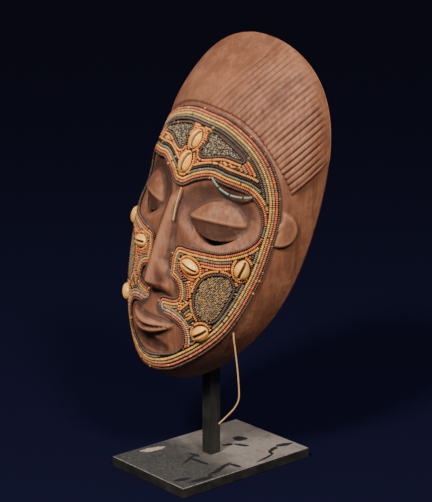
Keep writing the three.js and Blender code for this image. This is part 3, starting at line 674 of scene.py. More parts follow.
def wood_material():
    m = Nodes("dusty_carved_wood", 0.55)
    grain_way = m.mapped((1, 1, 0.09), (TILT_BACK, -SIDE_LEAN, 0))
    grain = m.noise(grain_way, 420, 6, 0.62, 0.4)
    streak = m.noise(grain_way, 90, 4, 0.6, 0.8)
    patch = m.noise(m.place, 26, 4, 0.6)
    fine = m.noise(m.place, 900, 3, 0.6)
    base = m.mix(m.ramp(patch, 0.35, 0.68), WOOD_DEEP, WOOD_WARM)
    base = m.mix(m.ramp(streak, 0.42, 0.7, 0, 0.55), base, WOOD_STREAK)
    base = m.mix(m.ramp(grain, 0.45, 0.7, 0, 0.5), base, WOOD_GRAIN)
    # Paler wood on ridges is wear with a painted highlight; darker wood in hollows, sockets, under the lids
    # and below the lip is painted shade
    wear_and_painted_light = m.attribute("wear_and_painted_light")
    base = m.mix(m.ramp(wear_and_painted_light, 0.1, 1, 0, 0.65), base, WOOD_WEAR_HIGHLIGHT)
    base = m.mix(m.ramp(wear_and_painted_light, -0.05, -1, 0, 0.8), base, WOOD_SHADE)
    dust = m.times(m.ramp(m.noise(m.place, 60, 5, 0.7), 0.5, 0.72), m.attribute("dusty"))
    base = m.mix(m.times(dust, 0.32), base, WOOD_DUST)
    base = m.mix(m.attribute("bed"), base, BEAD_BED)
    m.colour(base)
    m.link(m.ramp(grain, 0.3, 0.75, 0.58, 0.8), m.shader.inputs["Roughness"])
    height = m.add(m.times(grain, 0.6), m.times(fine, 0.25))
    height = m.add(height, m.times(m.noise(m.place, 60, 2), 2.5))
    m.bump(height, 0.0006, 0.8)
    return m.material


def bead_material():
    m = Nodes("glass_beads", 0.4)
    dirt = m.noise(m.place, 240, 4, 0.6)
    tint = m.attribute("tint", "Color")
    aged = m.mix(m.ramp(dirt, 0.5, 0.75, 0, 0.5), tint, BEAD_DIRT)
    m.colour(aged)
    m.link(m.ramp(dirt, 0.4, 0.7, 0.36, 0.65), m.shader.inputs["Roughness"])
    m.bump(m.noise(m.place, 1500, 2), 0.0001, 0.5)
    return m.material


def cowrie_material():
    m = Nodes("cowrie_shell", 0.28)
    cloud = m.noise(m.place, 160, 4, 0.6)
    stain = m.noise(m.place, 60, 3, 0.6)
    base = m.mix(m.ramp(cloud, 0.35, 0.7), SHELL_AMBER, SHELL_PALE)
    base = m.mix(m.ramp(stain, 0.5, 0.75, 0, 0.45), base, SHELL_STAIN)
    # Painted shade in the cowrie's slit
    base = m.mix(m.attribute("mouth_shade"), base, SHELL_MOUTH_SHADE)
    m.colour(base)
    m.bump(cloud, 0.0002, 0.4)
    return m.material


def thread_material():
    m = Nodes("waxed_thread", 0.75)
    twist = m.noise(m.mapped((1, 1, 0.35)), 1600, 3)
    m.colour(m.mix(m.ramp(twist, 0.3, 0.7), THREAD_DARK, THREAD_PALE))
    m.bump(twist, 0.0003, 0.7)
    return m.material


def mark_cover(m, place, mark, ragged):
    """Share of a ragged oval mark: 1 inside it and 0 outside."""
    x, y, long, wide, turn = mark
    c, s = math.cos(math.radians(turn)), math.sin(math.radians(turn))
    dx = m.less(place["X"], x * MM)
    dy = m.less(place["Y"], y * MM)
    along = m.add(m.times(dx, c / (long * MM)), m.times(dy, s / (long * MM)))
    over = m.less(m.times(dy, c / (wide * MM)), m.times(dx, s / (wide * MM)))
    far = m.add(m.times(along, along), m.times(over, over))
    return m.ramp(m.add(far, ragged), 1.25, 0.6)


def painted_steel_material(marked):
    m = Nodes("dusty_black_plate" if marked else "black_post", 0.5)
    patch = m.noise(m.place, 34, 5, 0.65)
    fine = m.noise(m.place, 520, 4, 0.6)
    base = m.mix(m.ramp(patch, 0.35, 0.7), PAINT, PAINT_GREY)
    facing = m.axes(m.tree.nodes.new("ShaderNodeNewGeometry").outputs["Normal"])
    tilt = [m.math("ABSOLUTE", facing[axis], 0) for axis in "XYZ"]
    slant = m.ramp(m.add(m.add(tilt[0], tilt[1]), tilt[2]), 1.1, 1.35)
    if marked:
        place = m.axes(m.place)
        top = m.ramp(facing["Z"], 0.6, 0.95)
        behind = m.ramp(m.add(place["Y"], m.times(patch, 0.05)), 0.0, 0.045)
        dust = m.mix(behind, PLATE_FRONT, PLATE_BACK)
        dust = m.mix(m.ramp(fine, 0.35, 0.7, 0, 0.45), dust, PLATE_DUST)
        cover = m.times(top, m.ramp(m.noise(m.place, 55, 6, 0.7), 0.3, 0.52, 0.55, 1))
        base = m.mix(cover, base, dust)
        ragged = m.times(m.less(m.noise(m.place, 150, 5, 0.75), 0.5), 3.4)
        for mark in (*BLACK_MARKS, PALE_MARK):
            spot = m.times(mark_cover(m, place, mark, ragged), top)
            base = m.mix(spot, base, MARK_PALE if mark is PALE_MARK else MARK_BLACK)
        m.link(m.ramp(cover, 0, 1, 0.4, 0.7), m.shader.inputs["Roughness"])
    else:
        streaks = m.noise(m.mapped((1, 1, 0.05)), 300, 4)
        base = m.mix(m.ramp(streaks, 0.52, 0.75, 0, 0.6), base, POST_STREAK)
    # Painted highlight along the chamfered edges, broken up by noise
    base = m.mix(m.times(slant, m.ramp(fine, 0.35, 0.6, 0.3, 0.9)), base, EDGE_HIGHLIGHT)
    m.colour(base)
    m.bump(fine, 0.0002, 0.5)
    return m.material


WOOD = wood_material()
BEADS = bead_material()
SHELL = cowrie_material()
STRING = thread_material()


# Camera and threads
def add_camera():
    data = bpy.data.cameras.new("camera")
    data.sensor_width = SENSOR
    data.lens = LENS
    camera = bpy.data.objects.new("camera", data)
    camera.location = CAMERA_AT
    camera.rotation_euler = (LOOK_AT - CAMERA_AT).to_track_quat("-Z", "Y").to_euler()
    bpy.context.collection.objects.link(camera)
    bpy.context.scene.camera = camera


def spline_points(points, per=10):
    """Points of a smooth open curve through the route's points."""
    p = np.asarray(points, float)
    p = np.vstack((2 * p[0] - p[1], p, 2 * p[-1] - p[-2]))
    out = []
    for i in range(1, len(p) - 2):
        for t in np.linspace(0, 1, per, endpoint=False):
            a, b, c, d = p[i - 1], p[i], p[i + 1], p[i + 2]
            square = 2 * a - 5 * b + 4 * c - d
            cube = 3 * b - a - 3 * c + d
            out.append(0.5 * (2 * b + (c - a) * t + square * t**2 + cube * t**3))
    out.append(p[-2])
    return np.array(out)


def add_thread(name, route, width):
    line = spline_points(route)
    data = bpy.data.curves.new(name, "CURVE")
    data.dimensions = "3D"
    data.bevel_depth = width / 2 * MM
    data.bevel_resolution = 3
    data.use_fill_caps = True
    spline = data.splines.new("POLY")
    spline.points.add(len(line) - 1)
    for point, p in zip(spline.points, line):
        point.co = (*p, 1)
    piece = bpy.data.objects.new(name + "_piece", data)
    bpy.context.collection.objects.link(piece)
    data.materials.append(STRING)
    finish_piece(piece, name)


def route_on_mask(route):
    across, up, height = np.array(route, float).T
    return placed(on_mask(across, up, height))


# Carved wood
def face_shade(a, up):
    """Painted shade in the sockets, under the lids and under the lip, darker wood down the nose, paler wood
    on the ears.
    """
    share = np.clip((a - EYE_ACROSS) / EYE_HALF, -1, 1)
    opening = eye_opening(share)
    above = up - eye_middle(share)
    under_lid = smooth((-above - 0.5) / 2) * smooth((LOWER_LID * opening + 2 + above) / 3) * (opening > 0.05)
    far = np.sqrt(socket_reach(a, up))
    lid = smooth((UPPER_LID * opening + 1 - above) / 3) * smooth((above + 1) / 2) * (opening > 0)
    socket = smooth((1.05 - far) / 0.35) * smooth((above - 4) / 6) * (1 - lid)
    below_lip = smooth(1 - np.hypot(a / 30, (up + 142) / 12) ** 2)
    ear = smooth((1 - ear_reach(a, up)) / 0.15) * (a > EAR_FRONT)
    middle = smooth((34 - a) / 14) * smooth((up + 170) / 20) * smooth((30 - up) / 20)
    face = -0.22 * middle - 0.15 * lid - 0.12 * (up < 20)
    # Painted shade: under the lower lids, in the sockets and below the lip
    return face - 0.95 * under_lid - 0.75 * socket - 0.7 * below_lip + 0.5 * ear


def hollow_points():
    """The inside of the mask, carried back to the plane of the rim."""
    u = np.linspace(-1, 1, WOOD_ROWS + 2)[1:-1]
    u = np.sign(u) * (1 - (1 - np.abs(u)) ** 1.6)
    turn = np.linspace(-math.pi / 2 + 1e-9, math.pi / 2 - 1e-9, HOLLOW_COLUMNS)
    hollow = section_points(u[:, None], turn[None, :], WALL)
    for edge in (0, -1):
        hollow[:, edge, 1] = cubic(RIM_BOW, hollow[:, edge, 2] / HALF_LENGTH)
    return hollow


def rim_faces(rows, columns, inner_columns, foot):
    """Faces between the skin's edge and the hollow's, and the fans round the poles at chin and crown."""
    faces = []
    first = rows * columns
    for i in range(rows - 1):
        left, right = i * columns, i * columns + columns - 1
        il, ir = first + i * inner_columns, first + i * inner_columns + inner_columns - 1
        faces.append((right, ir, ir + inner_columns, right + columns))
        faces.append((left + columns, il + inner_columns, il, left))
    crown = foot + 1
    last = (rows - 1) * columns
    for j in range(columns - 1):
        faces.append((foot, j + 1, j))
        faces.append((crown, last + j, last + j + 1))
    inner_last = first + (rows - 1) * inner_columns
    for j in range(inner_columns - 1):
        faces.append((foot + 2, first + j, first + j + 1))
        faces.append((crown + 2, inner_last + j + 1, inner_last + j))
    faces.append((foot, 0, first, foot + 2))
    faces.append((foot, foot + 2, first + inner_columns - 1, columns - 1))
    faces.append((crown, crown + 2, inner_last, last))
    faces.append((crown, last + columns - 1, inner_last + inner_columns - 1, crown + 2))
    return faces


def beside(grid):
    """Sum of the four neighbours of every inner point of a grid."""
    return grid[:-2, 1:-1] + grid[2:, 1:-1] + grid[1:-1, :-2] + grid[1:-1, 2:]


def carving_bend(height, step):
    """How sharply the carving bends, above 0 in a hollow and below 0 on a ridge."""
    bend = np.zeros_like(height)
    bend[1:-1, 1:-1] = (beside(height) - 4 * height[1:-1, 1:-1]) / step**2
    for _ in range(3):
        bend[1:-1, 1:-1] = (bend[1:-1, 1:-1] * 2 + beside(bend)) / 6
    return bend


def carved_wood():
    rows = WOOD_ROWS
    ups = np.linspace(SHEET_BOTTOM, SHEET_TOP, rows + 2)[1:-1]
    shares = np.linspace(-1, 1, 2 * WOOD_HALF_COLUMNS + 1)
    columns = len(shares)
    across = shares[None, :] * half_sheet(ups)[:, None]
    up = np.broadcast_to(ups[:, None], across.shape)
    a = np.abs(across)
    height = relief(a, up) * (np.abs(shares) < 1)
    skin = on_mask(across, up, height)
    for edge in (0, -1):
        skin[:, edge] = sheet_points(across[:, edge], up[:, edge])
    poles = []
    for half in (HALF_LENGTH, HALF_LENGTH - WALL):
        poles.append((0, cubic(RIM_BOW, -half / HALF_LENGTH), -half))
        poles.append((0, cubic(RIM_BOW, half / HALF_LENGTH), half))
    verts = np.concatenate((skin.reshape(-1, 3), hollow_points().reshape(-1, 3), poles))
    faces = grid_faces(rows, columns).tolist()
    faces += grid_faces(rows, HOLLOW_COLUMNS, rows * columns, True).tolist()
    faces += rim_faces(rows, columns, HOLLOW_COLUMNS, len(verts) - len(poles))
    piece = mesh_piece("mask_wood", placed(verts), faces)

    flat = np.stack((across.ravel(), up.ravel()), 1)
    beaded = inside(flat, OUTER) & ~inside(flat, BARE)
    edge = np.minimum(clearance(flat, OUTER), clearance(flat, BARE))
    bed = np.where(beaded, np.clip(edge / 1.2, 0, 1), 0)
    # Painted highlight on the carving's ridges and painted shade in its hollows, from how sharply it bends,
    # plus the painted shade of face_shade
    wear_and_painted_light = np.clip(-carving_bend(height, ups[1] - ups[0]) * 6, -1, 1) * (1 - 0.6 * (a > 105))
    add_tint(piece, "wear_and_painted_light", with_zeros(wear_and_painted_light + face_shade(a, up), len(verts)))
    add_tint(piece, "bed", with_zeros(bed, len(verts)))
    add_tint(piece, "dusty", with_zeros(0.5 + 0.5 * (a < 100), len(verts)))
    piece.data.materials.append(WOOD)
    return piece


def slit_cutter(side):
    """A prism through the wood along the lower edge of one eye."""
    steps = 24
    share = np.linspace(*SLIT_ENDS, steps + 1)
    edge = eye_middle(share) - LOWER_LID * eye_opening(share)
    swell = SLIT_WIDTH * np.sin(np.linspace(0, math.pi, steps + 1)) ** 0.7
    across = EYE_ACROSS + EYE_HALF * share
    top = np.stack((across, edge + 0.4), 1)
    low = np.stack((across, edge - swell), 1)[1:-1][::-1]
    outline = np.concatenate((top, low))
    outline[:, 0] *= side
    flat = sheet_points(outline[:, 0], outline[:, 1])
    front, back = flat.copy(), flat.copy()
    front[:, 1], back[:, 1] = SLIT_FRONT, SLIT_BACK
    n = len(outline)
    verts = placed(np.concatenate((front, back)))
    faces = [tuple(range(n)), tuple(range(2 * n - 1, n - 1, -1))]
    faces += [(i, i + n, (i + 1) % n + n, (i + 1) % n) for i in range(n)]
    piece = mesh_piece("slit_cutter", verts, faces)
    bpy.context.view_layer.objects.active = piece
    deselect()
    piece.select_set(True)
    bpy.ops.object.mode_set(mode="EDIT")
    bpy.ops.mesh.select_all(action="SELECT")
    bpy.ops.mesh.normals_make_consistent(inside=False)
    bpy.ops.object.mode_set(mode="OBJECT")
    return piece


def cut_slits(wood):
    for side in (1, -1):
        cutter = slit_cutter(side)
        cut = wood.modifiers.new("slit", "BOOLEAN")
        cut.operation = "DIFFERENCE"
        cut.solver = "EXACT"
        cut.object = cutter
        deselect()
        bpy.context.view_layer.objects.active = wood
        wood.select_set(True)
        bpy.ops.object.modifier_apply(modifier=cut.name)
        bpy.data.objects.remove(cutter)


# Coiffure
def hairline(x):
    share = np.minimum(1, np.abs(x) / HAIR_HALF)
    return HAIR_SIDE_UP + HAIR_CROWN_RISE * (1 - share**2.8) ** 0.65


def skin_at(x, z):
    u = z / HALF_LENGTH
    room = np.maximum(0, 1 - np.abs(u) ** OUTLINE_POWER - (x / cubic(HALF_WIDTH, u)) ** 2)
    power = section_power(u)
    y = cubic(RIM_BOW, u) - cubic(DEPTH, u) * room**power
    return np.stack(np.broadcast_arrays(x, y, z), -1)


def half_at(z):
    u = z / HALF_LENGTH
    return cubic(HALF_WIDTH, u) * np.sqrt(np.maximum(0, 1 - np.abs(u) ** OUTLINE_POWER))


def comb_plane(p):
    return p[..., 0] + COMB_LEAN[0] * p[..., 1] - COMB_LEAN[1] * p[..., 2]


def rim_plane(z):
    return comb_plane(np.stack((half_at(z), cubic(RIM_BOW, z / HALF_LENGTH), z), -1))


def meet(low, high, goal, measure):
    """Halves the way from low to high until a rising measure meets its goal."""
    for _ in range(40):
        middle = (low + high) / 2
        short = measure(middle) < goal
        low, high = np.where(short, middle, low), np.where(short, high, middle)
    return (low + high) / 2


def outline_share(p):
    u = p[..., 2] / HALF_LENGTH
    power = section_power(u)
    deep = np.maximum(0, cubic(RIM_BOW, u) - p[..., 1]) / cubic(DEPTH, u)
    return deep ** (1 / power) + np.abs(u) ** OUTLINE_POWER + (p[..., 0] / cubic(HALF_WIDTH, u)) ** 2


def outward(p):
    slopes = []
    for k in range(3):
        step = np.zeros(3)
        step[k] = 0.05
        slopes.append(outline_share(p + step) - outline_share(p - step))
    return unit(np.stack(slopes, -1))


def comb_curves(start, ease):
    """Places (x, z) of the combs of one side that start beyond a place on the hairline, and their phase."""
    fine = np.linspace(start, HAIR_EDGE, 2000)
    planes = comb_plane(skin_at(fine, hairline(fine)))
    step = COMB_PITCH * math.sqrt(1 + COMB_LEAN[0] ** 2 + COMB_LEAN[1] ** 2)
    combs = round((planes[-1] - planes[0]) / step)
    goals = np.linspace(planes[0], planes[-1], combs * COMB_PARTS + 1)
    low = hairline(np.interp(goals, planes, fine))
    high = meet(low, np.full_like(low, HALF_LENGTH), -goals, lambda z: -rim_plane(z))
    z = low[:, None] + (high - low)[:, None] * ease
    inner = -np.minimum(PARTING_REACH, 0.9 * half_at(z))
    x = meet(inner, half_at(z), goals[:, None], lambda x: comb_plane(skin_at(x, z)))
    return x, z, np.linspace(0, combs, len(goals))


def hair_columns():
    """Curves from hairline to rim for every column, left to right, with comb phase and side."""
    ease = 1 - (1 - np.linspace(0, 1, HAIR_STATIONS)) ** 4
    right_x, right_z, right_phase = comb_curves(PARTING[1], ease)
    left_x, left_z, left_phase = comb_curves(-PARTING[0], ease)
    share = np.linspace(0, 1, PARTING_PARTS + 1)[1:-1, None]
    x = -left_x[0] * (1 - share) + right_x[0] * share
    end = np.abs(x[:, -1])
    top = meet(np.zeros_like(end), np.full_like(end, HALF_LENGTH), -end, lambda z: -half_at(z))
    line = hairline(PARTING[0] * (1 - share[:, 0]) + PARTING[1] * share[:, 0])
    z = line[:, None] + (top - line)[:, None] * ease
    curves = (skin_at(-left_x[::-1], left_z[::-1]), skin_at(x, z), skin_at(right_x, right_z))
    phases = (left_phase[::-1], np.full(len(x), -1.0), right_phase)
    side = np.repeat((1, 0, 0), [len(c) for c in curves])
    return np.concatenate(curves), np.concatenate(phases), side


def coiffure():
    curves, phase, side = hair_columns()
    near = np.array(HAIR_LIP_STEPS)
    count = len(curves) - 1
    columns = len(near) + HAIR_ROWS
    places = np.empty((count + 1, columns, 3))
    distance = np.empty((count + 1, columns))
    total = np.empty((count + 1, 1))
    for j, curve in enumerate(curves):
        run = run_along(curve)
        total[j] = run[-1] * HAIR_RIM_STOP
        distance[j] = np.concatenate((near, np.linspace(near[-1], total[j, 0], HAIR_ROWS + 1)[1:]))
        places[j] = points_at(distance[j], run, curve)
    shares = distance / total
    rise = np.interp(shares, np.linspace(0, 1, len(HAIR_RISE)), HAIR_RISE)
    edge = np.minimum(np.arange(count + 1), np.arange(count + 1)[::-1])
    lip = (0.25 + 0.75 * np.sqrt(np.clip(distance / 1.3, 0, 1))) * np.clip(edge / 5, 0.15, 1)[:, None] ** 0.5
    combed = np.clip(phase, 0, None)
    comb_no = np.floor(combed).astype(int) + side * LEFT_COMBS_FROM
    depth_of = 0.65 + 0.55 * rng.random(COMB_DRAWS)
    depth_of[:4] *= (0.35, 0.5, 0.65, 0.85)
    wave = rng.random((COMB_DRAWS, 3)) * 2 * math.pi
    groove_no = np.round(combed).astype(int) + side * LEFT_COMBS_FROM
    groove = np.where(phase < 0, 0, 1 - np.abs(np.sin(math.pi * combed)) ** 0.5)[:, None]
    along = distance / COMB_WAVE
    slow, quick = wave[groove_no, 0][:, None], wave[groove_no, 1][:, None]
    uneven = 1 + 0.3 * np.sin(along + slow) + 0.2 * np.sin(along * 2.7 + quick)
    fade = smooth((total - distance - COMB_RIM_ROOM) / COMB_FADE)
    cut = COMB_DEPTH * depth_of[groove_no][:, None] * uneven * groove * fade
    drift = np.sin(along * 1.6 + wave[comb_no, 2][:, None])
    wander = 0.16 * drift * (1 - groove) * (phase >= 0)[:, None] * fade
    normal = outward(places)
    top = places + normal * (rise * lip - cut + wander)[..., None]
    under = places - normal * HAIR_SUNK
    first = (count + 1) * columns
    verts = np.concatenate((top.reshape(-1, 3), under.reshape(-1, 3)))
    faces = grid_faces(count + 1, columns, 0, True).tolist() + grid_faces(count + 1, columns, first).tolist()
    for j in range(count):
        a, b = j * columns, (j + 1) * columns
        faces.append((a, b, first + b, first + a))
        c, d = a + columns - 1, b + columns - 1
        faces.append((d, c, first + c, first + d))
    for i in range(columns - 1):
        faces.append((i + 1, i, first + i, first + i + 1))
        c = count * columns + i
        faces.append((c, c + 1, first + c + 1, first + c))
    piece = mesh_piece("mask_coiffure", placed(verts), faces)
    # Painted highlight on the comb ridges and the parting, and painted shade in the grooves
    mottle = 0.7 + 0.3 * np.sin(along + comb_no[:, None])
    ridge_highlight = (1 - groove) * np.where(phase < 0, 0.35, 0.55)[:, None] * mottle
    add_tint(piece, "wear_and_painted_light", with_zeros(ridge_highlight - 0.9 * cut, 2 * first))
    add_tint(piece, "bed", np.zeros(2 * first))
    add_tint(piece, "dusty", with_zeros(np.full(first, 0.7), 2 * first))
    piece.data.materials.append(WOOD)
    return piece


# Beads
def turned_ball(segments, rings, axis):
    """Points and faces of a ball a unit wide, its poles turned level about an axis."""
    deselect()
    bpy.ops.mesh.primitive_uv_sphere_add(segments=segments, ring_count=rings, radius=0.5)
    model = bpy.context.object
    bpy.ops.object.mode_set(mode="EDIT")
    bpy.ops.mesh.select_all(action="SELECT")
    bpy.ops.transform.rotate(value=math.pi / 2, orient_axis=axis, center_override=(0, 0, 0))
    bpy.ops.object.mode_set(mode="OBJECT")
    verts = np.array([v.co[:] for v in model.data.vertices])
    faces = [tuple(p.vertices) for p in model.data.polygons]
    bpy.data.objects.remove(model)
    return verts, faces


def bead_pattern():
    """One barrel-shaped bead, its hole along X, modelled once and copied to every place."""
    verts, faces = turned_ball(8, 4, "Y")
    verts[:, 1:] *= (1 - 1.1 * verts[:, :1] ** 4) / 0.94
    return verts, faces


BEAD_VERTS, BEAD_FACES = bead_pattern()


def beads_at(centre, parts, x, y, z):
    """The points of a bead at every centre, set along its own three directions, and its faces."""
    verts = centre[:, None] + parts[..., :1] * x[:, None]
    verts = verts + parts[..., 1:2] * y[:, None]
    verts = verts + parts[..., 2:] * z[:, None]
    step = len(BEAD_VERTS)
    faces = [tuple(i + k * step for i in face) for k in range(len(centre)) for face in BEAD_FACES]
    return verts.reshape(-1, 3), faces


def bead_piece(name, places, ways, colours, size, up=BEAD_UP):
    """Beads over the wood: places and row directions on the unrolled skin."""
    places, ways, colours = np.asarray(places), np.asarray(ways), np.asarray(colours)
    n = len(places)
    across, upward = places.T
    centre = on_mask(across, upward, np.full(n, up) + rng.normal(0, 0.1, n))
    ahead = sheet_points(across + ways[:, 0], upward + ways[:, 1])
    behind = sheet_points(across - ways[:, 0], upward - ways[:, 1])
    x = unit(ahead - behind)
    z = sheet_normals(across, upward)
    y = np.cross(z, x)
    scale = np.array(size) * (1 + rng.normal(0, 0.05, (n, 1)))
    verts, faces = beads_at(centre, BEAD_VERTS[None] * scale[:, None, :], x, y, z)
    piece = mesh_piece(name, placed(verts), faces)
    strays = rng.random(n) < STRAY_SHARE
    stray_tones = np.array(STRAY_COLOURS)[rng.integers(0, len(STRAY_COLOURS), n)]
    colours = np.where(strays[:, None], stray_tones, colours)
    shade = 1 + rng.normal(0, 0.13, (n, 1))
    add_tint(piece, "tint", np.repeat(np.clip(colours * shade, 0.004, 1), len(BEAD_VERTS), axis=0))
    piece.data.materials.append(BEADS)
    return piece


def row_beads(outline, distance, keep):
    """Places and directions of beads on a row at a distance outward from an outline."""
    ahead = unit(np.roll(outline, -1, axis=0) - np.roll(outline, 1, axis=0))
    left = np.stack((-ahead[:, 1], ahead[:, 0]), 1)
    moved = outline + left * distance
    good = clearance(moved, outline) > abs(distance) - 0.1
    good &= keep(moved)
    if not good.any():
        return [], []
    start = int(np.argmin(good)) if not good.all() else 0
    order = (np.arange(len(moved)) + start) % len(moved)
    runs, run = [], []
    for i in order:
        if not good[i]:
            continue
        if run and np.linalg.norm(moved[i] - run[-1]) > 3:
            runs.append(run)
            run = []
        run.append(moved[i])
    runs.append(run)
    places, ways = [], []
    for run in runs:
        if len(run) < 3:
            continue
        run = np.array(run + ([run[0]] if good.all() and len(runs) == 1 else []))
        along = run_along(run)
        number = int(along[-1] / BEAD_STEP)
        if number < 1:
            continue
        goals = (np.arange(number) + 0.5) * along[-1] / number
        places.extend(points_at(goals, along, run))
        ways.extend(unit(points_at(goals + 0.5, along, run) - points_at(goals - 0.5, along, run)))
    return places, ways


def gather(rows):
    places, ways, colours = [], [], []
    for (spots, dirs), pick in rows:
        places.extend(spots)
        ways.extend(dirs)
        colours.extend(pick(p) for p in spots)
    return np.array(places), np.array(ways), np.array(colours)


def border_rows():
    rows = []
    for k in range(BORDER_ROWS):
        def pick(_, k=k):
            return BORDER_COLOURS[k]
        rows.append((row_beads(OUTER, -(k + 0.5) * ROW_PITCH, lambda p: np.ones(len(p), bool)), pick))
    return gather(rows)


def in_fields(points, room):
    found = np.zeros(len(points), bool)
    for field in FIELDS:
        found |= inside(points, field) | (clearance(points, field) < room)
    return found


def cowrie_edge(at, length, width, turn):
    t = np.linspace(0, 2 * math.pi, 120, endpoint=False)
    over, along = np.sin(t) * (width / 2 + 0.3), np.cos(t) * (length / 2 + 0.3)
    a = at[0] + over * math.cos(turn) + along * math.sin(turn)
    up = at[1] - over * math.sin(turn) + along * math.cos(turn)
    return np.stack((a, up), 1)


def free_wood(p):
    """True where a bead may sit: between the border and the bare wood, off the cowries and fields."""
    half = ROW_PITCH / 2 * 0.9
    open_place = clear_of_cowries(p, 1) & ~in_fields(p, half)
    open_place &= inside(p, OUTER) & (clearance(p, OUTER) > BORDER_ROWS * ROW_PITCH + half)
    return open_place & ~inside(p, BARE) & (clearance(p, BARE) > half)


def row_plan():
    """Rows in the order in which they are laid: outline, distance and colours."""
    def bare_colour(k):
        def pick(p):
            if p[1] > 4:
                return BROW_COLOURS[k]
            return CHIN_COLOURS[k] if p[1] < CHIN_TOP else CHEEK_COLOURS[k]
        return pick

    def plain(tone):
        return lambda _: tone

    bare = [(BARE, (k + 0.5) * ROW_PITCH, bare_colour(k)) for k in range(BROW_ROWS)]
    around = [[], []]
    for _, _, at, length, width, _, turn in cowrie_places():
        edge = cowrie_edge(at, length, width, turn)
        for k, tone in enumerate((ORANGE, CORAL)):
            around[k].append((edge, (k + 0.5) * ROW_PITCH, plain(tone)))
    fields = [[(f, (k + 0.5) * ROW_PITCH, plain(tone)) for f in FIELDS]
              for k, tone in enumerate((DARK, ORANGE, CORAL, YELLOW))]
    edge = []
    for k in range(INNER_BORDER_ROWS):
        tone = INNER_BORDER_COLOURS[k % len(INNER_BORDER_COLOURS)]
        edge.append((OUTER, -(BORDER_ROWS + k + 0.5) * ROW_PITCH, plain(tone)))
    first = bare[:3] + around[0] + fields[0] + edge[:2]
    return first + bare[3:] + fields[1] + edge[2:] + around[1] + fields[2] + fields[3]


def face_rows(border):
    places, ways, colours = [list(part) for part in border]
    kept = len(places)
    for outline, distance, pick in row_plan():
        spots, dirs = row_beads(outline, distance, free_wood)
        there = np.array(places)
        for spot, way in zip(spots, dirs):
            if np.min(np.sum((there - spot) ** 2, 1)) > NEAREST**2:
                places.append(spot)
                ways.append(way)
                colours.append(pick(spot))
    low, high = OUTER.min(0), OUTER.max(0)
    a, up = np.meshgrid(np.arange(low[0], high[0], FILL_STEP), np.arange(low[1], high[1], FILL_STEP))
    spare = np.stack((a.ravel(), up.ravel()), 1)
    spare = spare[free_wood(spare)]
    for spot in spare:
        gaps = np.sum((np.array(places) - spot) ** 2, 1)
        near = int(np.argmin(gaps))
        if gaps[near] > FILL_NEAREST**2:
            places.append(spot)
            ways.append(ways[near])
            colours.append(colours[near])
    return np.array(places[kept:]), np.array(ways[kept:]), np.array(colours[kept:])


def seed_field(name, outline, tones):
    low, high = outline.min(0), outline.max(0)
    a, up = np.meshgrid(np.arange(low[0], high[0], SEED_STEP), np.arange(low[1], high[1], SEED_STEP * 0.87))
    a = a + (np.arange(a.shape[0]) % 2)[:, None] * SEED_STEP / 2
    points = np.stack((a.ravel(), up.ravel()), 1) + rng.normal(0, 0.18, (a.size, 2))
    points = points[inside(points, outline) & (clearance(points, outline) > 0.5)]
    turns = rng.random(len(points)) * math.pi
    ways = np.stack((np.cos(turns), np.sin(turns)), 1)
    picks = np.array(tones)[rng.integers(0, len(tones), len(points))]
    return bead_piece(name, points, ways, picks, SEED_SIZE, SEED_UP)


# Cowries
def cowrie_pattern(lane_at):
    """One cowrie, mouth up, a unit long and wide: a domed shell pinched by its toothed mouth."""
    verts, faces = turned_ball(64, 40, "X")
    x, y, z = verts.T.copy()
    x = x * (1 - 0.12 * y * 2) * (1 - 0.1 * (2 * y) ** 4)
    z = np.where(z < 0, z * 0.25, z)
    top = smooth(z / 0.2)
    lane = lane_at + 0.03 * np.sin(y * 5)
    gap = np.exp(-(((x - lane) / 0.07) ** 2)) * smooth((0.47 - np.abs(y)) / 0.08)
    lips = np.exp(-(((np.abs(x - lane) - 0.13) / 0.07) ** 2)) * smooth((0.45 - np.abs(y)) / 0.1)
    teeth = np.maximum(0, np.sin(y * 70)) * np.exp(-(((np.abs(x - lane) - 0.085) / 0.045) ** 2))
    z = z + top * (0.05 * lips - 0.3 * gap - 0.035 * teeth * smooth((0.42 - np.abs(y)) / 0.1))
    # Painted shade in the mouth's slit and between its teeth
    mouth_shade = np.clip(top * (gap * 1.6 + 0.35 * teeth), 0, 1)
    z = z + 0.125
    return np.stack((x, y, z / 0.625), 1), faces, mouth_shade


def cowries():
    for name, _, at, length, width, height, turn in cowrie_places():
        verts, faces, mouth_shade = cowrie_pattern(FOREHEAD_MOUTH if at[0] == 0 else 0)
        p = verts * (width * 0.95, length * 0.985, height - COWRIE_LOW + 0.4)
        a = at[0] + p[:, 0] * math.cos(turn) + p[:, 1] * math.sin(turn)
        up = at[1] - p[:, 0] * math.sin(turn) + p[:, 1] * math.cos(turn)
        piece = mesh_piece(name + "_shell", placed(on_mask(a, up, p[:, 2] + COWRIE_LOW)), faces)
        add_tint(piece, "mouth_shade", mouth_shade)
        piece.data.materials.append(SHELL)
        finish_piece(piece, name)


def finish_loose_string(route):
    """The slack string: beads threaded close along the route."""
    line = spline_points(route)
    along = run_along(line)
    length = float(along[-1])
    number = int(length / (LOOSE_STRING_STEP * MM))
    goals = (np.arange(number) + 0.5) * length / number
    centre = points_at(goals, along, line)
    x = unit(points_at(goals + 0.4 * MM, along, line) - centre)
    y = unit(np.cross((0, 0, 1), x))
    z = np.cross(x, y)
    parts = BEAD_VERTS * (length / number * 1.02, LOOSE_STRING_WIDE * MM, LOOSE_STRING_WIDE * MM)
    verts, faces = beads_at(centre, parts, x, y, z)
    piece = mesh_piece("loose_bead_string_beads", verts, faces)
    tones = [MINT if k % 7 else BLACK_GREEN for k in range(number)]
    add_tint(piece, "tint", np.repeat(np.array(tones), len(BEAD_VERTS), axis=0))
    piece.data.materials.append(BEADS)
    finish_piece(piece, "loose_bead_string")


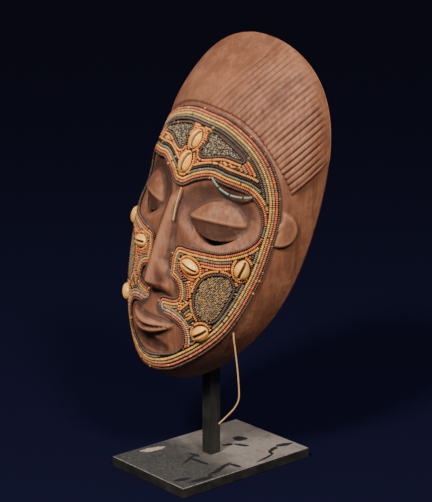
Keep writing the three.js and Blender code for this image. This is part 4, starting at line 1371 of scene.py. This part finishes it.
# Room
def add_floor():
    deselect()
    bpy.ops.mesh.primitive_plane_add(size=FLOOR_WIDE)
    floor = bpy.context.object
    floor.name = "floor"
    m = Nodes("dark_blue_backdrop", 0.9)
    m.shader.inputs["Base Color"].default_value = (*FLOOR, 1)
    m.shader.inputs["Specular IOR Level"].default_value = 0.05
    floor.data.materials.append(m.material)
    floor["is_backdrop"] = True


def add_light(name, place, power):
    data = bpy.data.lights.new(name, "AREA")
    data.size = LIGHT_WIDE
    data.energy = power
    data.color = LIGHT_TONE
    light = bpy.data.objects.new(name, data)
    light.location = place
    light.rotation_euler = (Vector(LIGHT_AIM) - Vector(place)).to_track_quat("-Z", "Y").to_euler()
    bpy.context.collection.objects.link(light)


def add_lights():
    add_light("key", KEY_AT, KEY_POWER)
    add_light("side", SIDE_AT, SIDE_POWER)
    world = bpy.data.worlds.new("studio")
    world.use_nodes = True
    world.node_tree.nodes["Background"].inputs["Color"].default_value = (*SKY, 1)
    world.node_tree.nodes["Background"].inputs["Strength"].default_value = SKY_STRENGTH
    bpy.context.scene.world = world


add_camera()
start = route_on_mask((HANGING_START,))[0]
add_thread("hanging_thread", start + np.array(HANGING_DROP) * MM, THREAD)
add_thread("brow_thread", route_on_mask(BROW_THREAD), THREAD)
finish_loose_string(route_on_mask(LOOSE_STRING))

wood = carved_wood()
cut_slits(wood)
finish_piece(wood, "carved_mask")
finish_piece(coiffure(), "carved_mask")
border = border_rows()
finish_piece(bead_piece("border_bead_rows", *border, BEAD_SIZE), "border_beads")
finish_piece(bead_piece("face_bead_rows", *face_rows(border), BEAD_SIZE), "face_beads")
seed_nodes = ("cheek_seed_beads_right", "cheek_seed_beads_left", "forehead_seed_beads_right",
              "forehead_seed_beads_left")
for node, outline in zip(seed_nodes, FIELDS):
    tones = CHEEK_SEEDS if node.startswith("cheek") else FOREHEAD_SEEDS
    finish_piece(seed_field(node + "_loose", outline, tones), node)
cowries()

for node, marked in (("base_plate", True), ("post", False)):
    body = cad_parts[node]
    body.data.materials.clear()
    body.data.materials.append(painted_steel_material(marked))

add_floor()
add_lights()

boxes = {"cad": cad_box, "visual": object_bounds()}
{k: [[float(c) for c in corner] for corner in b] for k, b in boxes.items()}
